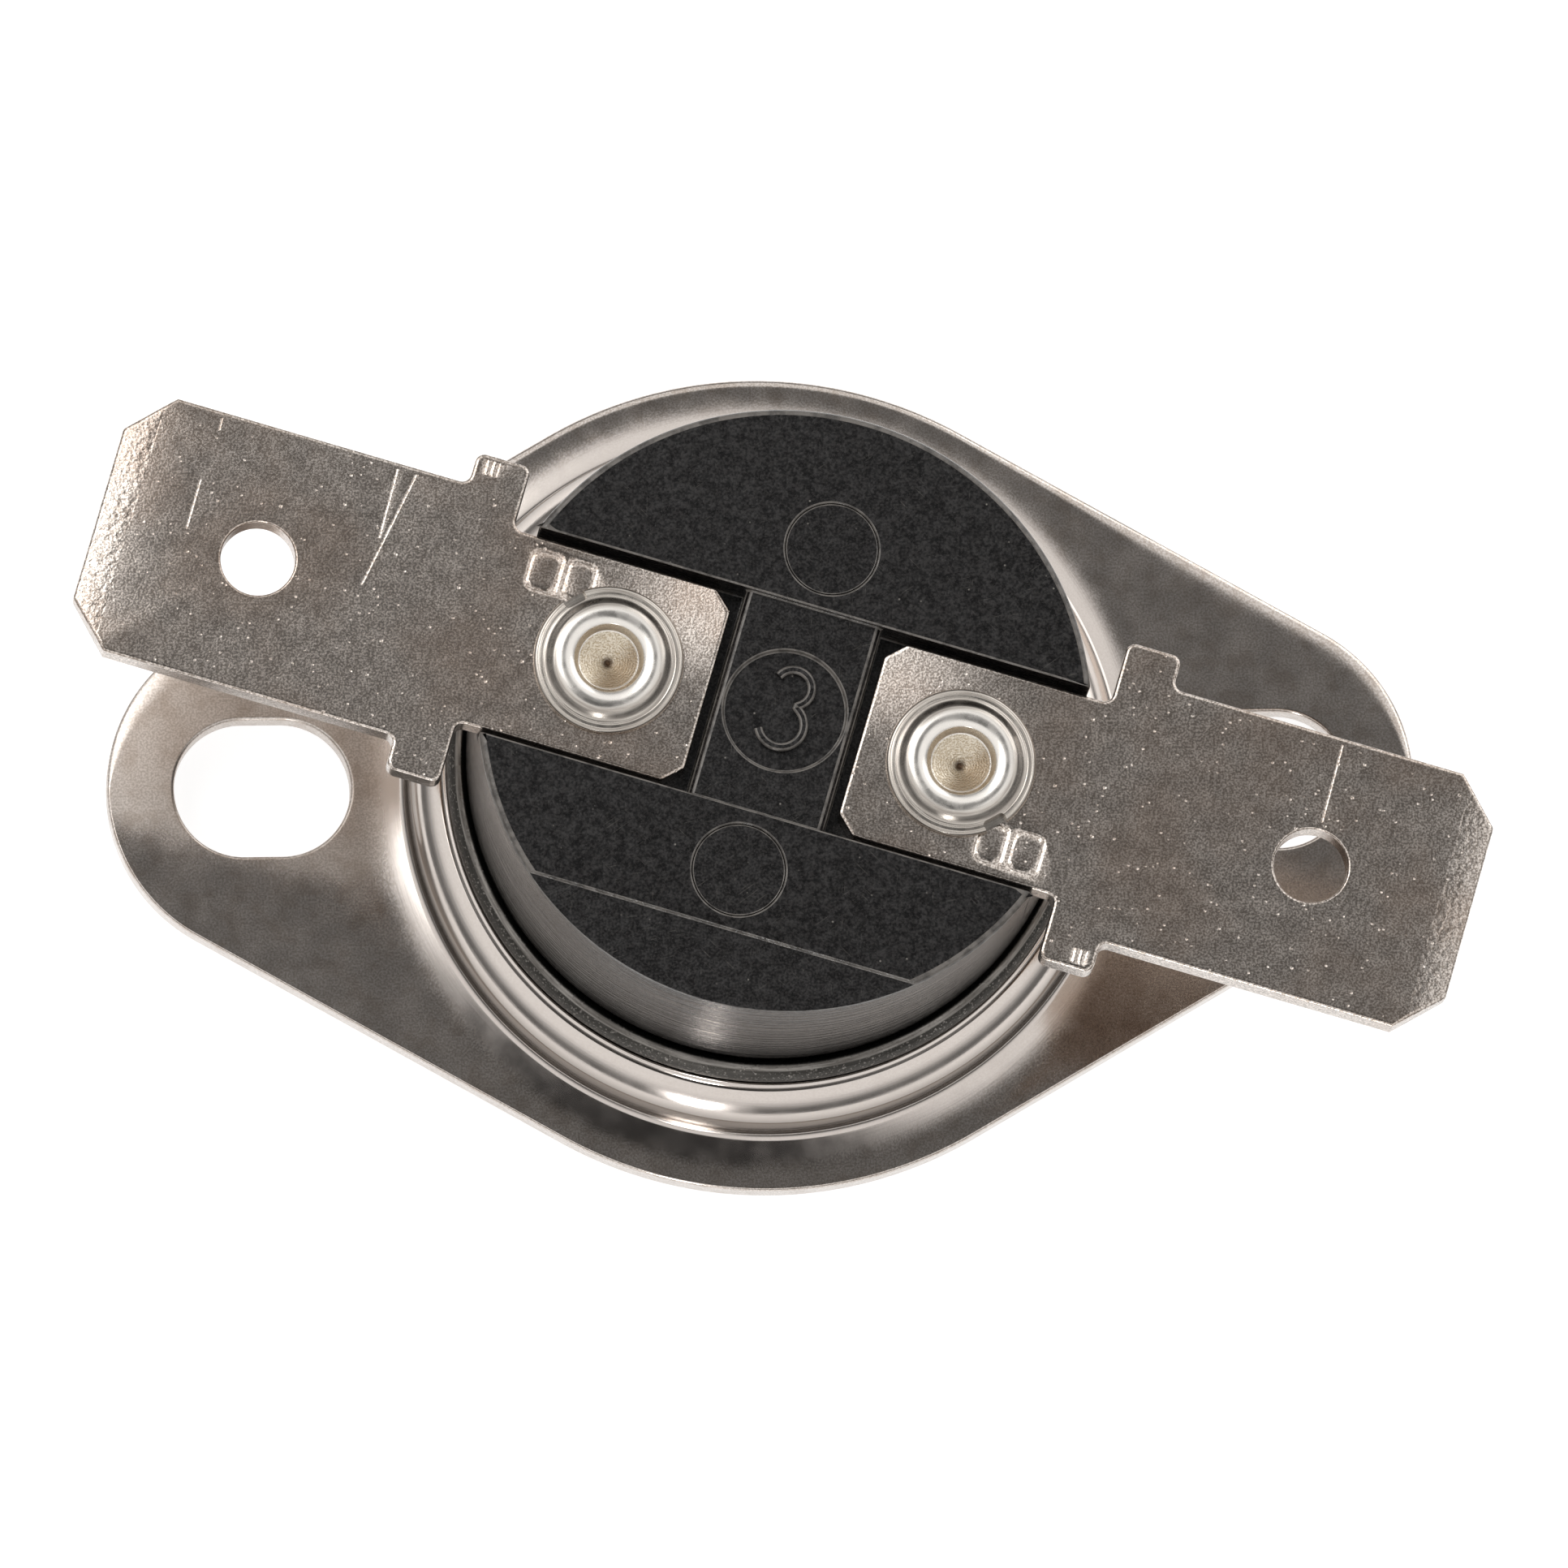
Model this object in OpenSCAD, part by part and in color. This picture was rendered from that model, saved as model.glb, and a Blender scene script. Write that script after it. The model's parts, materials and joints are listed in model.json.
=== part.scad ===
// Snap disc thermostat with a loose flange bracket and two flat blade terminals.
// Millimetres, +Z up. The origin is the centre of the flat sensing face, the slots of the
// bracket lie along X, and the terminals are turned about Z by terminal_turn.

/* [Housing] */
// Diameter of the moulded body above the crimp
body_d = 14.4; // [12.5:0.1:18]
// Height of the body above its crimp groove
body_h = 6.0; // [5.6:0.1:9]
// Radius of the rounded rim of the body's top
body_round = 0.35; // [0.1:0.05:0.6]
// How much smaller in radius the body is inside the cap
seat_step = 0.08; // [0.04:0.01:0.15]
// Depth of the crimp groove below the seat
groove_depth = 0.19; // [0.15:0.01:0.3]
// Wall left round the contact chamber, at the crimp groove
chamber_wall = 0.98; // [0.7:0.01:1.3]
// How far the two lands stand above the terminals
land_over = 0.35; // [0.1:0.05:0.8]
// Width of the bridge between the two terminals
bridge_w = 3.3; // [2.2:0.1:3.5]
// How far the bridge lies below the lands
bridge_drop = 0.2; // [0.05:0.05:0.5]
// Chamfer along the bridge's two edges
bridge_chamfer = 0.12; // [0.05:0.01:0.4]
// Thickness of the roof between the chamber and the channel
roof_t = 1.5; // [1:0.1:2]
// Width of the shallow step at the rim of one land
land_step_w = 1.75; // [1:0.05:2.2]
// Depth of that shallow step
land_step = 0.08; // [0.04:0.01:0.15]
// Diameter of the ejector pin marks
ejector_d = 2.2; // [1:0.1:2.4]
// Depth of those marks
ejector_depth = 0.04; // [0.02:0.01:0.1]
// Width left between the bridge's round recess and its chamfers
mark_edge = 0.08; // [0.04:0.01:0.8]
// Depth of that recess
mark_depth = 0.1; // [0.04:0.01:0.2]

/* [Sensing cap] */
// Thickness of the cap's floor
floor_t = 0.5; // [0.3:0.05:1]
// Thickness of the cap's thin wall
cap_wall = 0.33; // [0.25:0.01:0.4]
// How far the cap's foot stands out from the wall
foot_extra = 0.25; // [0.22:0.01:0.5]
// Rounding at the edge of the sensing face
face_round = 0.5; // [0.2:0.05:0.7]
// Angle through which the rim is rolled inwards
roll_angle = 120; // [95:5:130]
// How far the rolled rim overhangs the bracket and holds it
rim_over = 0.04; // [0.02:0.01:0.08]
// Free height in the crimp groove above the rolled rim
roll_room = 0.31; // [0.1:0.01:0.5]

/* [Snap disc] */
// Thickness of the bimetal disc
disc_t = 0.25; // [0.15:0.05:0.3]
// Height of the disc's dome
disc_dome = 0.45; // [0.2:0.05:0.5]
// Gap round and above the disc
disc_play = 0.15; // [0.05:0.01:0.2]
// Gap under the middle of the cold disc
disc_lift = 0.03; // [0.01:0.01:0.1]
// Free travel of the disc before it meets the pin
pin_free = 0.07; // [0.02:0.01:0.15]
// Diameter of the transfer pin
pin_d = 1.6; // [1.2:0.05:1.65]

/* [Guide plate] */
// Thickness of the guide plate
guide_t = 0.8; // [0.5:0.05:1.2]
// Thickness of the skirt that stands on the cap's floor
skirt_t = 0.37; // [0.3:0.01:0.5]
// Wall of the sleeve that guides the pin
sleeve_wall = 0.85; // [0.5:0.05:1.2]
// Gap between that sleeve's top and the fixed contact
sleeve_gap = 0.47; // [0.2:0.01:1]

/* [Bracket] */
// Distance between the centres of the two slots
slot_spacing = 23.8; // [23:0.1:28]
// Width of a slot
slot_w = 3.3; // [2.5:0.1:4]
// Length of a slot, end to end
slot_l = 4.2; // [4.0:0.1:5]
// Thickness of the sheet
sheet_t = 0.7; // [0.5:0.05:0.8]
// Width of the flat rim between the collar and the flange's narrow sides
flange_rim = 0.75; // [0.4:0.05:2]
// Radius of the flange's two ends
end_r = 4.1; // [3.6:0.05:5]
// How far an end's centre lies inside its slot's centre
end_inset = 0.4; // [0:0.05:0.6]
// Inside radius of the collar's two bends
bend_r = 0.55; // [0.3:0.05:0.6]
// Height of the flange's underside above the sensing face
flange_lift = 0.8; // [0.6:0.05:1.2]
// Play of the loose bracket upwards, below the rolled rim
play_up = 0.17; // [0.05:0.01:0.3]
// Play of the loose bracket downwards, above the cap's foot
play_down = 0.2; // [0.05:0.01:0.25]

/* [Terminals] */
// Width of the blade
blade_w = 6.3; // [4.8:0.1:6.3]
// Thickness of the blade
blade_t = 0.8; // [0.5:0.05:1]
// Length of the blade from its stop lugs to its tip
blade_l = 8.13; // [7:0.01:10]
// Chamfer at the blade's two corners
tip_chamfer = 1.03; // [0.5:0.01:1.3]
// Length of the lead-in bevel on both faces of the tip
tip_bevel = 1.0; // [0.5:0.05:1.4]
// Depth of that bevel on each face
bevel_depth = 0.16; // [0.05:0.01:0.2]
// Diameter of the detent hole
detent_d = 1.75; // [1.2:0.05:2]
// Distance of the detent hole from the tip
detent_from_tip = 3.89; // [3:0.01:4.5]
// Width of the narrow root
root_w = 4.8; // [4.4:0.05:4.9]
// Chamfer at the root's inner corners
root_chamfer = 0.45; // [0.2:0.05:0.7]
// Length of the stop lugs along the blade
lug_l = 1.31; // [0.8:0.01:1.6]
// How far a stop lug stands out from the blade's side
lug_out = 0.79; // [0.4:0.01:1.2]
// Rounding of the lugs' corners
lug_round = 0.22; // [0.1:0.02:0.35]
// Turn of the terminals' line against the bracket's slots
terminal_turn = -17.1; // [-90:0.1:90]

/* [Rivets] */
// Diameter of the rivet's shank
shank_d = 2.2; // [1.6:0.1:2.3]
// Diameter of the rolled head
head_d = 3.52; // [3:0.02:4]
// Thickness of the head's flange
head_t = 0.18; // [0.1:0.01:0.3]
// Diameter of the roll's crest
roll_d = 1.96; // [1.5:0.02:2.1]
// Radius of the roll
roll_r = 0.24; // [0.15:0.01:0.3]
// Diameter of the dished mouth
dish_d = 1.66; // [1:0.02:1.8]
// Depth of the dish below the terminal's face
dish_depth = 0.35; // [0.1:0.05:0.6]
// Diameter of the head inside the chamber
inner_head_d = 3.2; // [2.6:0.1:3.2]
// Thickness of the head inside the chamber
inner_head_t = 0.45; // [0.3:0.05:0.5]

/* [Contacts] */
// Thickness of the contact arm
arm_t = 0.15; // [0.1:0.01:0.3]
// Width of the contact arm
arm_w = 3.2; // [2:0.1:3.4]
// Thickness of the fixed contact plate
plate_t = 0.4; // [0.3:0.05:0.5]
// Width of the fixed contact plate
plate_w = 3.0; // [2:0.1:3.4]
// Thickness of each silver contact
contact_t = 0.5; // [0.3:0.05:0.6]
// Share of a contact's diameter that its shank has
contact_shank_share = 0.47; // [0.3:0.01:0.6]
// Share of a contact's diameter that its closing head has
contact_head_share = 0.7; // [0.65:0.01:0.8]
// Thickness of a contact's closing head
contact_head_t = 0.2; // [0.1:0.05:0.25]
// Distance between the pin and the contacts
pin_to_contact = 0.2; // [0.17:0.01:0.3]
// How far the arm and the plate reach past their contacts
contact_edge = 0.05; // [0.02:0.01:0.1]
// Free height above the arm, for its lift
lift_room = 1.3; // [1.1:0.05:1.6]
// Free width beside the arm
side_room = 0.6; // [0.2:0.05:0.8]
// Wall left between the arm's recess and the rivet's hole
rivet_web = 0.35; // [0.2:0.01:0.4]

/* [Fits] */
// Radial clearance of the loose bracket on the cap's wall
turn_fit = 0.08; // [0.04:0.01:0.1]
// Gap between the collar's inside and the cap's foot
collar_gap = 0.1; // [0.08:0.01:0.2]
// Radial clearance of the parts that sit in the cap
seat_fit = 0.05; // [0.03:0.01:0.08]
// Radial clearance of a shank in its holes
shank_fit = 0.05; // [0.03:0.01:0.1]
// Radial clearance of the transfer pin in its sleeve
pin_fit = 0.05; // [0.03:0.01:0.1]
// Gap between an inner rivet head and the chamber's wall
head_gap = 0.05; // [0.03:0.01:0.1]
// Gap at each side of a terminal's root in its channel
root_gap = 0.15; // [0.05:0.01:0.3]
// Gap between a terminal's inner end and the bridge
bridge_gap = 0.23; // [0.05:0.01:0.4]
// Gap between the stop lugs and the body
lug_gap = 0.1; // [0.05:0.01:0.4]
// Clearance between pieces that face each other without touching
face_gap = 0.02; // [0.01:0.01:0.05]

/* [Hidden] */
$fn = 96;
// Overshoot of cutting solids
cut = 1;

// Radii, from the middle outwards
body_r = body_d / 2;
seat_r = body_r - seat_step;
land_step_at = body_r - land_step_w;
groove_r = seat_r - groove_depth;
chamber_r = groove_r - chamber_wall;
cap_in_r = seat_r + seat_fit;
cap_r = cap_in_r + cap_wall;
foot_r = cap_r + foot_extra;
rim_r = cap_r + turn_fit;
collar_r = foot_r + collar_gap + sheet_t;
bend_out_r = bend_r + sheet_t;
crown_x = collar_r - bend_out_r;
disc_r = seat_r - skirt_t - disc_play;
flat_r = collar_r + bend_r;
flange_r = flat_r + flange_rim;

// Rolled rim: a ring whose inside clears the seat's edge and whose outside overhangs the bracket
curl_in_r = (seat_fit + turn_fit + rim_over + face_gap / 2) / 2;
curl_r = curl_in_r + cap_wall;
curl_x = rim_r + rim_over - curl_r;

// Heights, from the sensing face upwards
bend_z = flange_lift + bend_out_r;
rim_z = bend_z + sqrt(bend_out_r * bend_out_r - (rim_r - crown_x) * (rim_r - crown_x));
foot_round = bend_r - play_down;
foot_h = bend_z + foot_round;
curl_z = rim_z + sqrt(curl_r * curl_r - (curl_r - rim_over) * (curl_r - rim_over)) + play_up;
disc_z = floor_t + disc_lift;
guide_z = disc_z + disc_t + disc_dome + disc_play;
housing_z = guide_z + guide_t;
groove_top_z = curl_z + curl_r + roll_room;
body_top_z = groove_top_z + body_h;
terminal_top_z = body_top_z - land_over;
channel_z = terminal_top_z - blade_t;
recess_z = channel_z - roof_t;
bridge_z = body_top_z - bridge_drop;

// Places along the terminals' line, from the centre outwards
shank_r = shank_d / 2;
shank_hole_r = shank_r + shank_fit;
rivet_x = chamber_r - head_gap - inner_head_d / 2;
pin_r = pin_d / 2;
recess_end = rivet_x - shank_hole_r - rivet_web;
arm_end = recess_end - contact_edge;
contact_from = pin_r + pin_to_contact;
contact_d = arm_end - contact_edge - contact_from;
contact_at = contact_from + contact_d / 2;
contact_hole_r = contact_d * contact_shank_share / 2 + face_gap;
recess_start = inner_head_d / 2 - rivet_x;
recess_w = arm_w + 2 * side_room;

// Contact set, hung from the chamber's stepped ceiling
arm_top_z = recess_z - lift_room;
arm_z = arm_top_z - arm_t;
moving_z = arm_z - contact_t;
plate_top_z = moving_z - contact_t;
plate_z = plate_top_z - plate_t;
sleeve_top_z = plate_z - contact_head_t - sleeve_gap;
pin_z = disc_z + disc_t + pin_free;
pin_top_z = arm_z - face_gap;

// Terminal outline, measured from its rivet
channel_w = root_w + 2 * root_gap;
root_back = rivet_x - bridge_w / 2 - bridge_gap;
lug_from = body_r - rivet_x + lug_gap;
lug_to = lug_from + lug_l;
lug_w = blade_w + 2 * lug_out;
blade_reach = lug_to + blade_l;
mark_d = bridge_w - 2 * bridge_chamfer - 2 * mark_edge;

// Flange outline
end_x = slot_spacing / 2 - end_inset;
tangent_angle = acos((flange_r - end_r) / end_x);

// Radius of the sphere on which a dish of radius r is h deep, and that dish's height at x
function dome_radius(r, h) = (r * r + h * h) / (2 * h);
function dome_z(x, rho) = rho - sqrt(rho * rho - x * x);

// Moves children to the terminals' line
module terminal_line() {
  rotate(terminal_turn) children();
}

// Moves children to one rivet: side -1 is the left one, 1 the right one
module at_rivet(side) {
  terminal_line()
    rotate(side > 0 ? 0 : 180)
      translate([rivet_x, 0, 0]) children();
}

// Flat outline of the flange: a round middle, two round ends and their tangents
module flange_outline() {
  circle(flange_r);
  for (side = [-1, 1]) {
    translate([side * end_x, 0]) circle(end_r);
    for (up = [-1, 1])
      polygon([
        [0, 0],
        [side * flange_r * cos(tangent_angle), up * flange_r * sin(tangent_angle)],
        [side * (end_x + end_r * cos(tangent_angle)), up * end_r * sin(tangent_angle)],
        [side * end_x, 0]
      ]);
  }
}

// Obround with its long side along X
module slot_outline(length, width) {
  for (side = [-1, 1])
    translate([side * (length - width) / 2, 0]) circle(width / 2);
  square([length - width, width], center = true);
}

// Section of the collar: a bend over the cap's foot, a bend back and a strip of the flat flange
module collar_section() {
  // upper bend, cut off at the rim's bore
  intersection() {
    translate([crown_x, bend_z]) difference() {
      circle(bend_out_r);
      circle(bend_r);
    }
    translate([rim_r, bend_z]) square([collar_r - rim_r, bend_out_r]);
  }
  // lower bend, ending in the flat flange
  intersection() {
    translate([flat_r, bend_z]) difference() {
      circle(bend_out_r);
      circle(bend_r);
    }
    translate([collar_r - sheet_t, flange_lift]) square([bend_out_r, bend_out_r]);
  }
  translate([flat_r, flange_lift]) square([flange_rim / 2, sheet_t]);
}

module mounting_bracket() {
  color("silver") difference() {
    union() {
      rotate_extrude() collar_section();
      translate([0, 0, flange_lift])
        linear_extrude(sheet_t) difference() {
          flange_outline();
          circle(flat_r + flange_rim / 4);
        }
    }
    for (side = [-1, 1])
      translate([side * slot_spacing / 2, 0, flange_lift - cut])
        linear_extrude(sheet_t + 2 * cut) slot_outline(slot_l, slot_w);
  }
}

// Outer shape of the cap's section, before it is hollowed
module cap_outside() {
  square([foot_r - face_round, foot_h - foot_round]);
  translate([0, face_round]) square([foot_r, foot_h - face_round - foot_round]);
  translate([foot_r - face_round, face_round]) circle(face_round);
  square([foot_r - foot_round, foot_h]);
  translate([foot_r - foot_round, foot_h - foot_round]) circle(foot_round);
  translate([0, face_round]) square([cap_r, curl_z - face_round]);
  translate([curl_x, curl_z]) circle(curl_r);
}

// What is taken out of it: the cup and the open side of the curled rim
module cap_inside() {
  far = 2 * curl_r;
  translate([0, floor_t]) square([cap_in_r, curl_z - floor_t]);
  translate([curl_x, curl_z]) {
    circle(curl_in_r);
    polygon([
      [0, 0],
      [far * cos(roll_angle), far * sin(roll_angle)],
      [-far, far * sin(roll_angle)],
      [-far, 0]
    ]);
  }
}

module sensing_cap() {
  color("gainsboro")
    rotate_extrude() difference() {
      cap_outside();
      cap_inside();
    }
}

module bimetal_disc() {
  rho = dome_radius(disc_r, disc_dome);
  steps = 12;
  color("darkgoldenrod")
    translate([0, 0, disc_z])
      rotate_extrude() polygon(concat(
        [for (i = [0 : steps]) [disc_r * i / steps, dome_z(disc_r * i / steps, rho)]],
        [for (i = [steps : -1 : 0]) [disc_r * i / steps, dome_z(disc_r * i / steps, rho) + disc_t]]
      ));
}

module guide_plate() {
  sleeve_r = pin_r + pin_fit + sleeve_wall;
  color("dimgray") difference() {
    union() {
      translate([0, 0, guide_z]) cylinder(h = guide_t, r = seat_r);
      translate([0, 0, guide_z]) cylinder(h = sleeve_top_z - guide_z, r = sleeve_r);
      translate([0, 0, floor_t]) difference() {
        cylinder(h = guide_z - floor_t, r = seat_r);
        translate([0, 0, -cut]) cylinder(h = guide_z - floor_t + cut, r = seat_r - skirt_t);
      }
    }
    translate([0, 0, floor_t]) cylinder(h = sleeve_top_z, r = pin_r + pin_fit);
  }
}

module transfer_pin() {
  bevel = 0.15;
  color("ivory") {
    translate([0, 0, pin_z]) cylinder(h = bevel, r1 = pin_r - bevel, r2 = pin_r);
    translate([0, 0, pin_z + bevel]) cylinder(h = pin_top_z - pin_z - 2 * bevel, r = pin_r);
    translate([0, 0, pin_top_z - bevel]) cylinder(h = bevel, r1 = pin_r, r2 = pin_r - bevel);
  }
}

// Section of the moulded body, with its seat, crimp groove and rounded top
module body_section() {
  difference() {
    union() {
      translate([0, housing_z]) square([seat_r, curl_z - housing_z]);
      translate([0, curl_z]) square([groove_r, groove_top_z - curl_z]);
      translate([0, groove_top_z]) square([body_r, body_h - body_round]);
      translate([0, groove_top_z]) square([body_r - body_round, body_h]);
      translate([body_r - body_round, body_top_z - body_round]) circle(body_round);
    }
    translate([0, housing_z - cut]) square([chamber_r, plate_top_z - housing_z + cut]);
  }
}

// The chamber above the fixed plate: a stepped ceiling with a recess over the arm
module chamber_steps() {
  intersection() {
    translate([0, 0, plate_top_z - cut]) cylinder(h = arm_top_z - plate_top_z + cut, r = chamber_r);
    translate([-body_d, -body_r, 0]) cube([body_d + recess_end, body_d, body_top_z]);
  }
  translate([recess_start, -recess_w / 2, plate_top_z - cut])
    cube([recess_end - recess_start, recess_w, recess_z - plate_top_z + cut]);
}

// The two pockets of the channel, with the bridge left standing between them
module channel_pockets() {
  for (side = [0, 180])
    rotate(side) {
      translate([bridge_w / 2, -channel_w / 2, channel_z])
        cube([body_d, channel_w, body_top_z]);
      translate([bridge_w / 2, -channel_w / 2, bridge_z])
        rotate([-90, 0, 0])
          linear_extrude(channel_w)
            polygon([[-bridge_chamfer, 0], [-bridge_chamfer, -cut], [cut, -cut], [cut, bridge_chamfer],
              [0, bridge_chamfer]]);
    }
}

module housing() {
  ejector_at = (channel_w / 2 + land_step_at) / 2;
  color("#2b2b2c") difference() {
    rotate_extrude() body_section();
    terminal_line() {
      chamber_steps();
      channel_pockets();
      translate([-bridge_w / 2, -channel_w / 2, bridge_z]) cube([bridge_w, channel_w, cut]);
      translate([0, 0, bridge_z - mark_depth]) cylinder(h = cut, d = mark_d);
      translate([-body_r, -land_step_at - body_d, body_top_z - land_step]) cube([body_d, body_d, cut]);
      for (side = [-1, 1])
        translate([0, side * ejector_at, body_top_z - ejector_depth]) cylinder(h = cut, d = ejector_d);
    }
    for (side = [-1, 1])
      at_rivet(side) cylinder(h = body_top_z, r = shank_hole_r);
  }
}

// Concave corner fillet, filling the corner at the origin towards +X and +Y
module corner_fill(r) {
  difference() {
    square(r);
    translate([r, r]) circle(r);
  }
}

// Flat outline of a terminal, with its rivet hole at the origin and its tip towards +X
module terminal_outline() {
  tip_y = blade_w / 2 - tip_chamfer;
  difference() {
    union() {
      polygon([
        [-root_back + root_chamfer, -root_w / 2], [lug_from + lug_l / 2, -root_w / 2],
        [lug_from + lug_l / 2, root_w / 2], [-root_back + root_chamfer, root_w / 2],
        [-root_back, root_w / 2 - root_chamfer], [-root_back, -root_w / 2 + root_chamfer]
      ]);
      polygon([
        [lug_from + lug_l / 2, -blade_w / 2], [blade_reach - tip_chamfer, -blade_w / 2],
        [blade_reach, -tip_y], [blade_reach, tip_y],
        [blade_reach - tip_chamfer, blade_w / 2], [lug_from + lug_l / 2, blade_w / 2]
      ]);
      translate([lug_from, -lug_w / 2 + lug_round]) square([lug_l, lug_w - 2 * lug_round]);
      translate([lug_from + lug_round, -lug_w / 2]) square([lug_l - 2 * lug_round, lug_w]);
      for (up = [-1, 1], x = [lug_from + lug_round, lug_to - lug_round])
        translate([x, up * (lug_w / 2 - lug_round)]) circle(lug_round);
      for (up = [0, 1])
        mirror([0, up]) {
          translate([lug_to, blade_w / 2]) corner_fill(lug_round);
          translate([lug_from, root_w / 2]) mirror([1, 0]) corner_fill(lug_round);
        }
    }
    circle(shank_hole_r);
    translate([blade_reach - detent_from_tip, 0]) circle(detent_d / 2);
  }
}

// Wedge that bevels one face of the tip: the face lies at z = 0 and the metal below it
module tip_wedge() {
  translate([0, blade_w, 0])
    rotate([90, 0, 0])
      linear_extrude(2 * blade_w)
        polygon([
          [blade_reach - tip_bevel, 0], [blade_reach, -bevel_depth],
          [blade_reach + cut, -bevel_depth], [blade_reach + cut, cut], [blade_reach - tip_bevel, cut]
        ]);
}

module terminal(side) {
  color("#8f8a85")
    at_rivet(side)
      difference() {
        translate([0, 0, channel_z]) linear_extrude(blade_t) terminal_outline();
        translate([0, 0, terminal_top_z]) tip_wedge();
        translate([0, 0, channel_z]) mirror([0, 0, 1]) tip_wedge();
      }
}

module terminal_left() {
  terminal(-1);
}

module terminal_right() {
  terminal(1);
}

// Section of a rivet from inner_z, the face that its inner head bears on, to its rolled head
module rivet_section(inner_z) {
  edge = head_t / 2;
  difference() {
    union() {
      translate([0, inner_z]) square([shank_r, terminal_top_z - inner_z]);
      translate([0, inner_z - inner_head_t]) square([inner_head_d / 2, inner_head_t]);
      translate([0, terminal_top_z]) {
        square([head_d / 2 - edge, head_t]);
        translate([head_d / 2 - edge, edge]) circle(edge);
        square([roll_d / 2, head_t + roll_r]);
        translate([roll_d / 2, head_t]) intersection() {
          circle(roll_r);
          translate([-roll_r, -head_t]) square([2 * roll_r, head_t + roll_r]);
        }
      }
    }
    translate([0, terminal_top_z])
      polygon([
        [0, -dish_depth], [dish_d / 2, head_t + roll_r / 2], [dish_d / 2, head_t + roll_r + cut],
        [-cut, head_t + roll_r + cut], [-cut, -dish_depth]
      ]);
  }
}

module rivet(side, inner_z) {
  color("gainsboro")
    at_rivet(side)
      rotate_extrude() intersection() {
        rivet_section(inner_z);
        square([head_d, 2 * body_top_z]);
      }
}

module rivet_left() {
  rivet(-1, arm_z);
}

module rivet_right() {
  rivet(1, plate_z);
}

// Strip from a rivet's pad to x = reach, measured from the rivet towards the centre
module contact_strip(width, reach) {
  pad_r = inner_head_d / 2;
  corner = 0.4;
  difference() {
    union() {
      circle(pad_r);
      translate([0, -width / 2]) square([reach - corner, width]);
      translate([0, -width / 2 + corner]) square([reach, width - 2 * corner]);
      for (up = [-1, 1])
        translate([reach - corner, up * (width / 2 - corner)]) circle(corner);
    }
    circle(shank_hole_r);
  }
}

module contact_arm() {
  color("goldenrod")
    terminal_line()
      translate([0, 0, arm_z])
        difference() {
          translate([-rivet_x, 0, 0])
            linear_extrude(arm_t) contact_strip(arm_w, rivet_x + arm_end);
          translate([contact_at, 0, -cut]) cylinder(h = 3 * cut, r = contact_hole_r);
        }
}

module fixed_plate() {
  color("peru")
    terminal_line()
      translate([0, 0, plate_z])
        difference() {
          translate([rivet_x, 0, 0])
            mirror([1, 0, 0])
              linear_extrude(plate_t)
                contact_strip(plate_w, rivet_x - contact_from + contact_edge);
          translate([contact_at, 0, -cut]) cylinder(h = 3 * cut, r = contact_hole_r);
        }
}

// A silver contact whose face lies at z = 0 and whose shank passes a sheet of thickness t
module contact_button(t) {
  cylinder(h = contact_t, d = contact_d);
  cylinder(h = contact_t + t + contact_head_t, d = contact_d * contact_shank_share);
  translate([0, 0, contact_t + t]) cylinder(h = contact_head_t, d = contact_d * contact_head_share);
}

module moving_contact() {
  color("lightgray")
    terminal_line()
      translate([contact_at, 0, moving_z]) contact_button(arm_t);
}

module fixed_contact() {
  color("lightgray")
    terminal_line()
      translate([contact_at, 0, moving_z]) mirror([0, 0, 1]) contact_button(plate_t);
}

mounting_bracket();
sensing_cap();
bimetal_disc();
guide_plate();
transfer_pin();
housing();
contact_arm();
moving_contact();
fixed_plate();
fixed_contact();
terminal_left();
terminal_right();
rivet_left();
rivet_right();
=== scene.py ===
"""Looks of a snap disc oven thermostat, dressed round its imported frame.

Every class keeps its sizes in millimetres. A piece is built in millimetres too and becomes metres
once, in settle(). The terminals' line is turned by LINE_TURN about Z, as in the frame.
"""

import json
import logging
import math
from dataclasses import dataclass, field
from enum import Enum
from typing import Any, Callable, Iterable, Sequence

import bmesh
import bpy
from mathutils import Matrix, Vector
from mathutils.geometry import delaunay_2d_cdt

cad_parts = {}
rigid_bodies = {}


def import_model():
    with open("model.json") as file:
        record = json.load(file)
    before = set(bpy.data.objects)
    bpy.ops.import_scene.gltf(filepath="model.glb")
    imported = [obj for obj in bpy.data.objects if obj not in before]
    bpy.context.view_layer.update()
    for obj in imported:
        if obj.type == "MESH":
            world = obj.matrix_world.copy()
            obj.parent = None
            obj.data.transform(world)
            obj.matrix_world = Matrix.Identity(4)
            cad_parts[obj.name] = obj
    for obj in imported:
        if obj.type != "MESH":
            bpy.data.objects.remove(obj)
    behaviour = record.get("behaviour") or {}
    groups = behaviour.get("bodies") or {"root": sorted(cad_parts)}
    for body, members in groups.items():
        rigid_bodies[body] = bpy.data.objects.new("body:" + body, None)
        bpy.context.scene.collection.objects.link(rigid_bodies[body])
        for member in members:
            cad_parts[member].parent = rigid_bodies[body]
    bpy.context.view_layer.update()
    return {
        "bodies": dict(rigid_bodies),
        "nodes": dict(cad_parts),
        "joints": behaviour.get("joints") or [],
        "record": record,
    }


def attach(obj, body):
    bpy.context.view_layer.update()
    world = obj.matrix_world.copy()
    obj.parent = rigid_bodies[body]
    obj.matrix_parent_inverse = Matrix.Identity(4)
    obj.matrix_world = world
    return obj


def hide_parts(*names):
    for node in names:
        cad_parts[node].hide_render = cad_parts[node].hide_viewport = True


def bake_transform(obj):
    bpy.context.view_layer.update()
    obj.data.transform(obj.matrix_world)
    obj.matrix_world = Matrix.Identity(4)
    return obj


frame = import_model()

Point = tuple[float, float]
Span = tuple[float, float]
Loop = list[Point]

MM = 0.001
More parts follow.
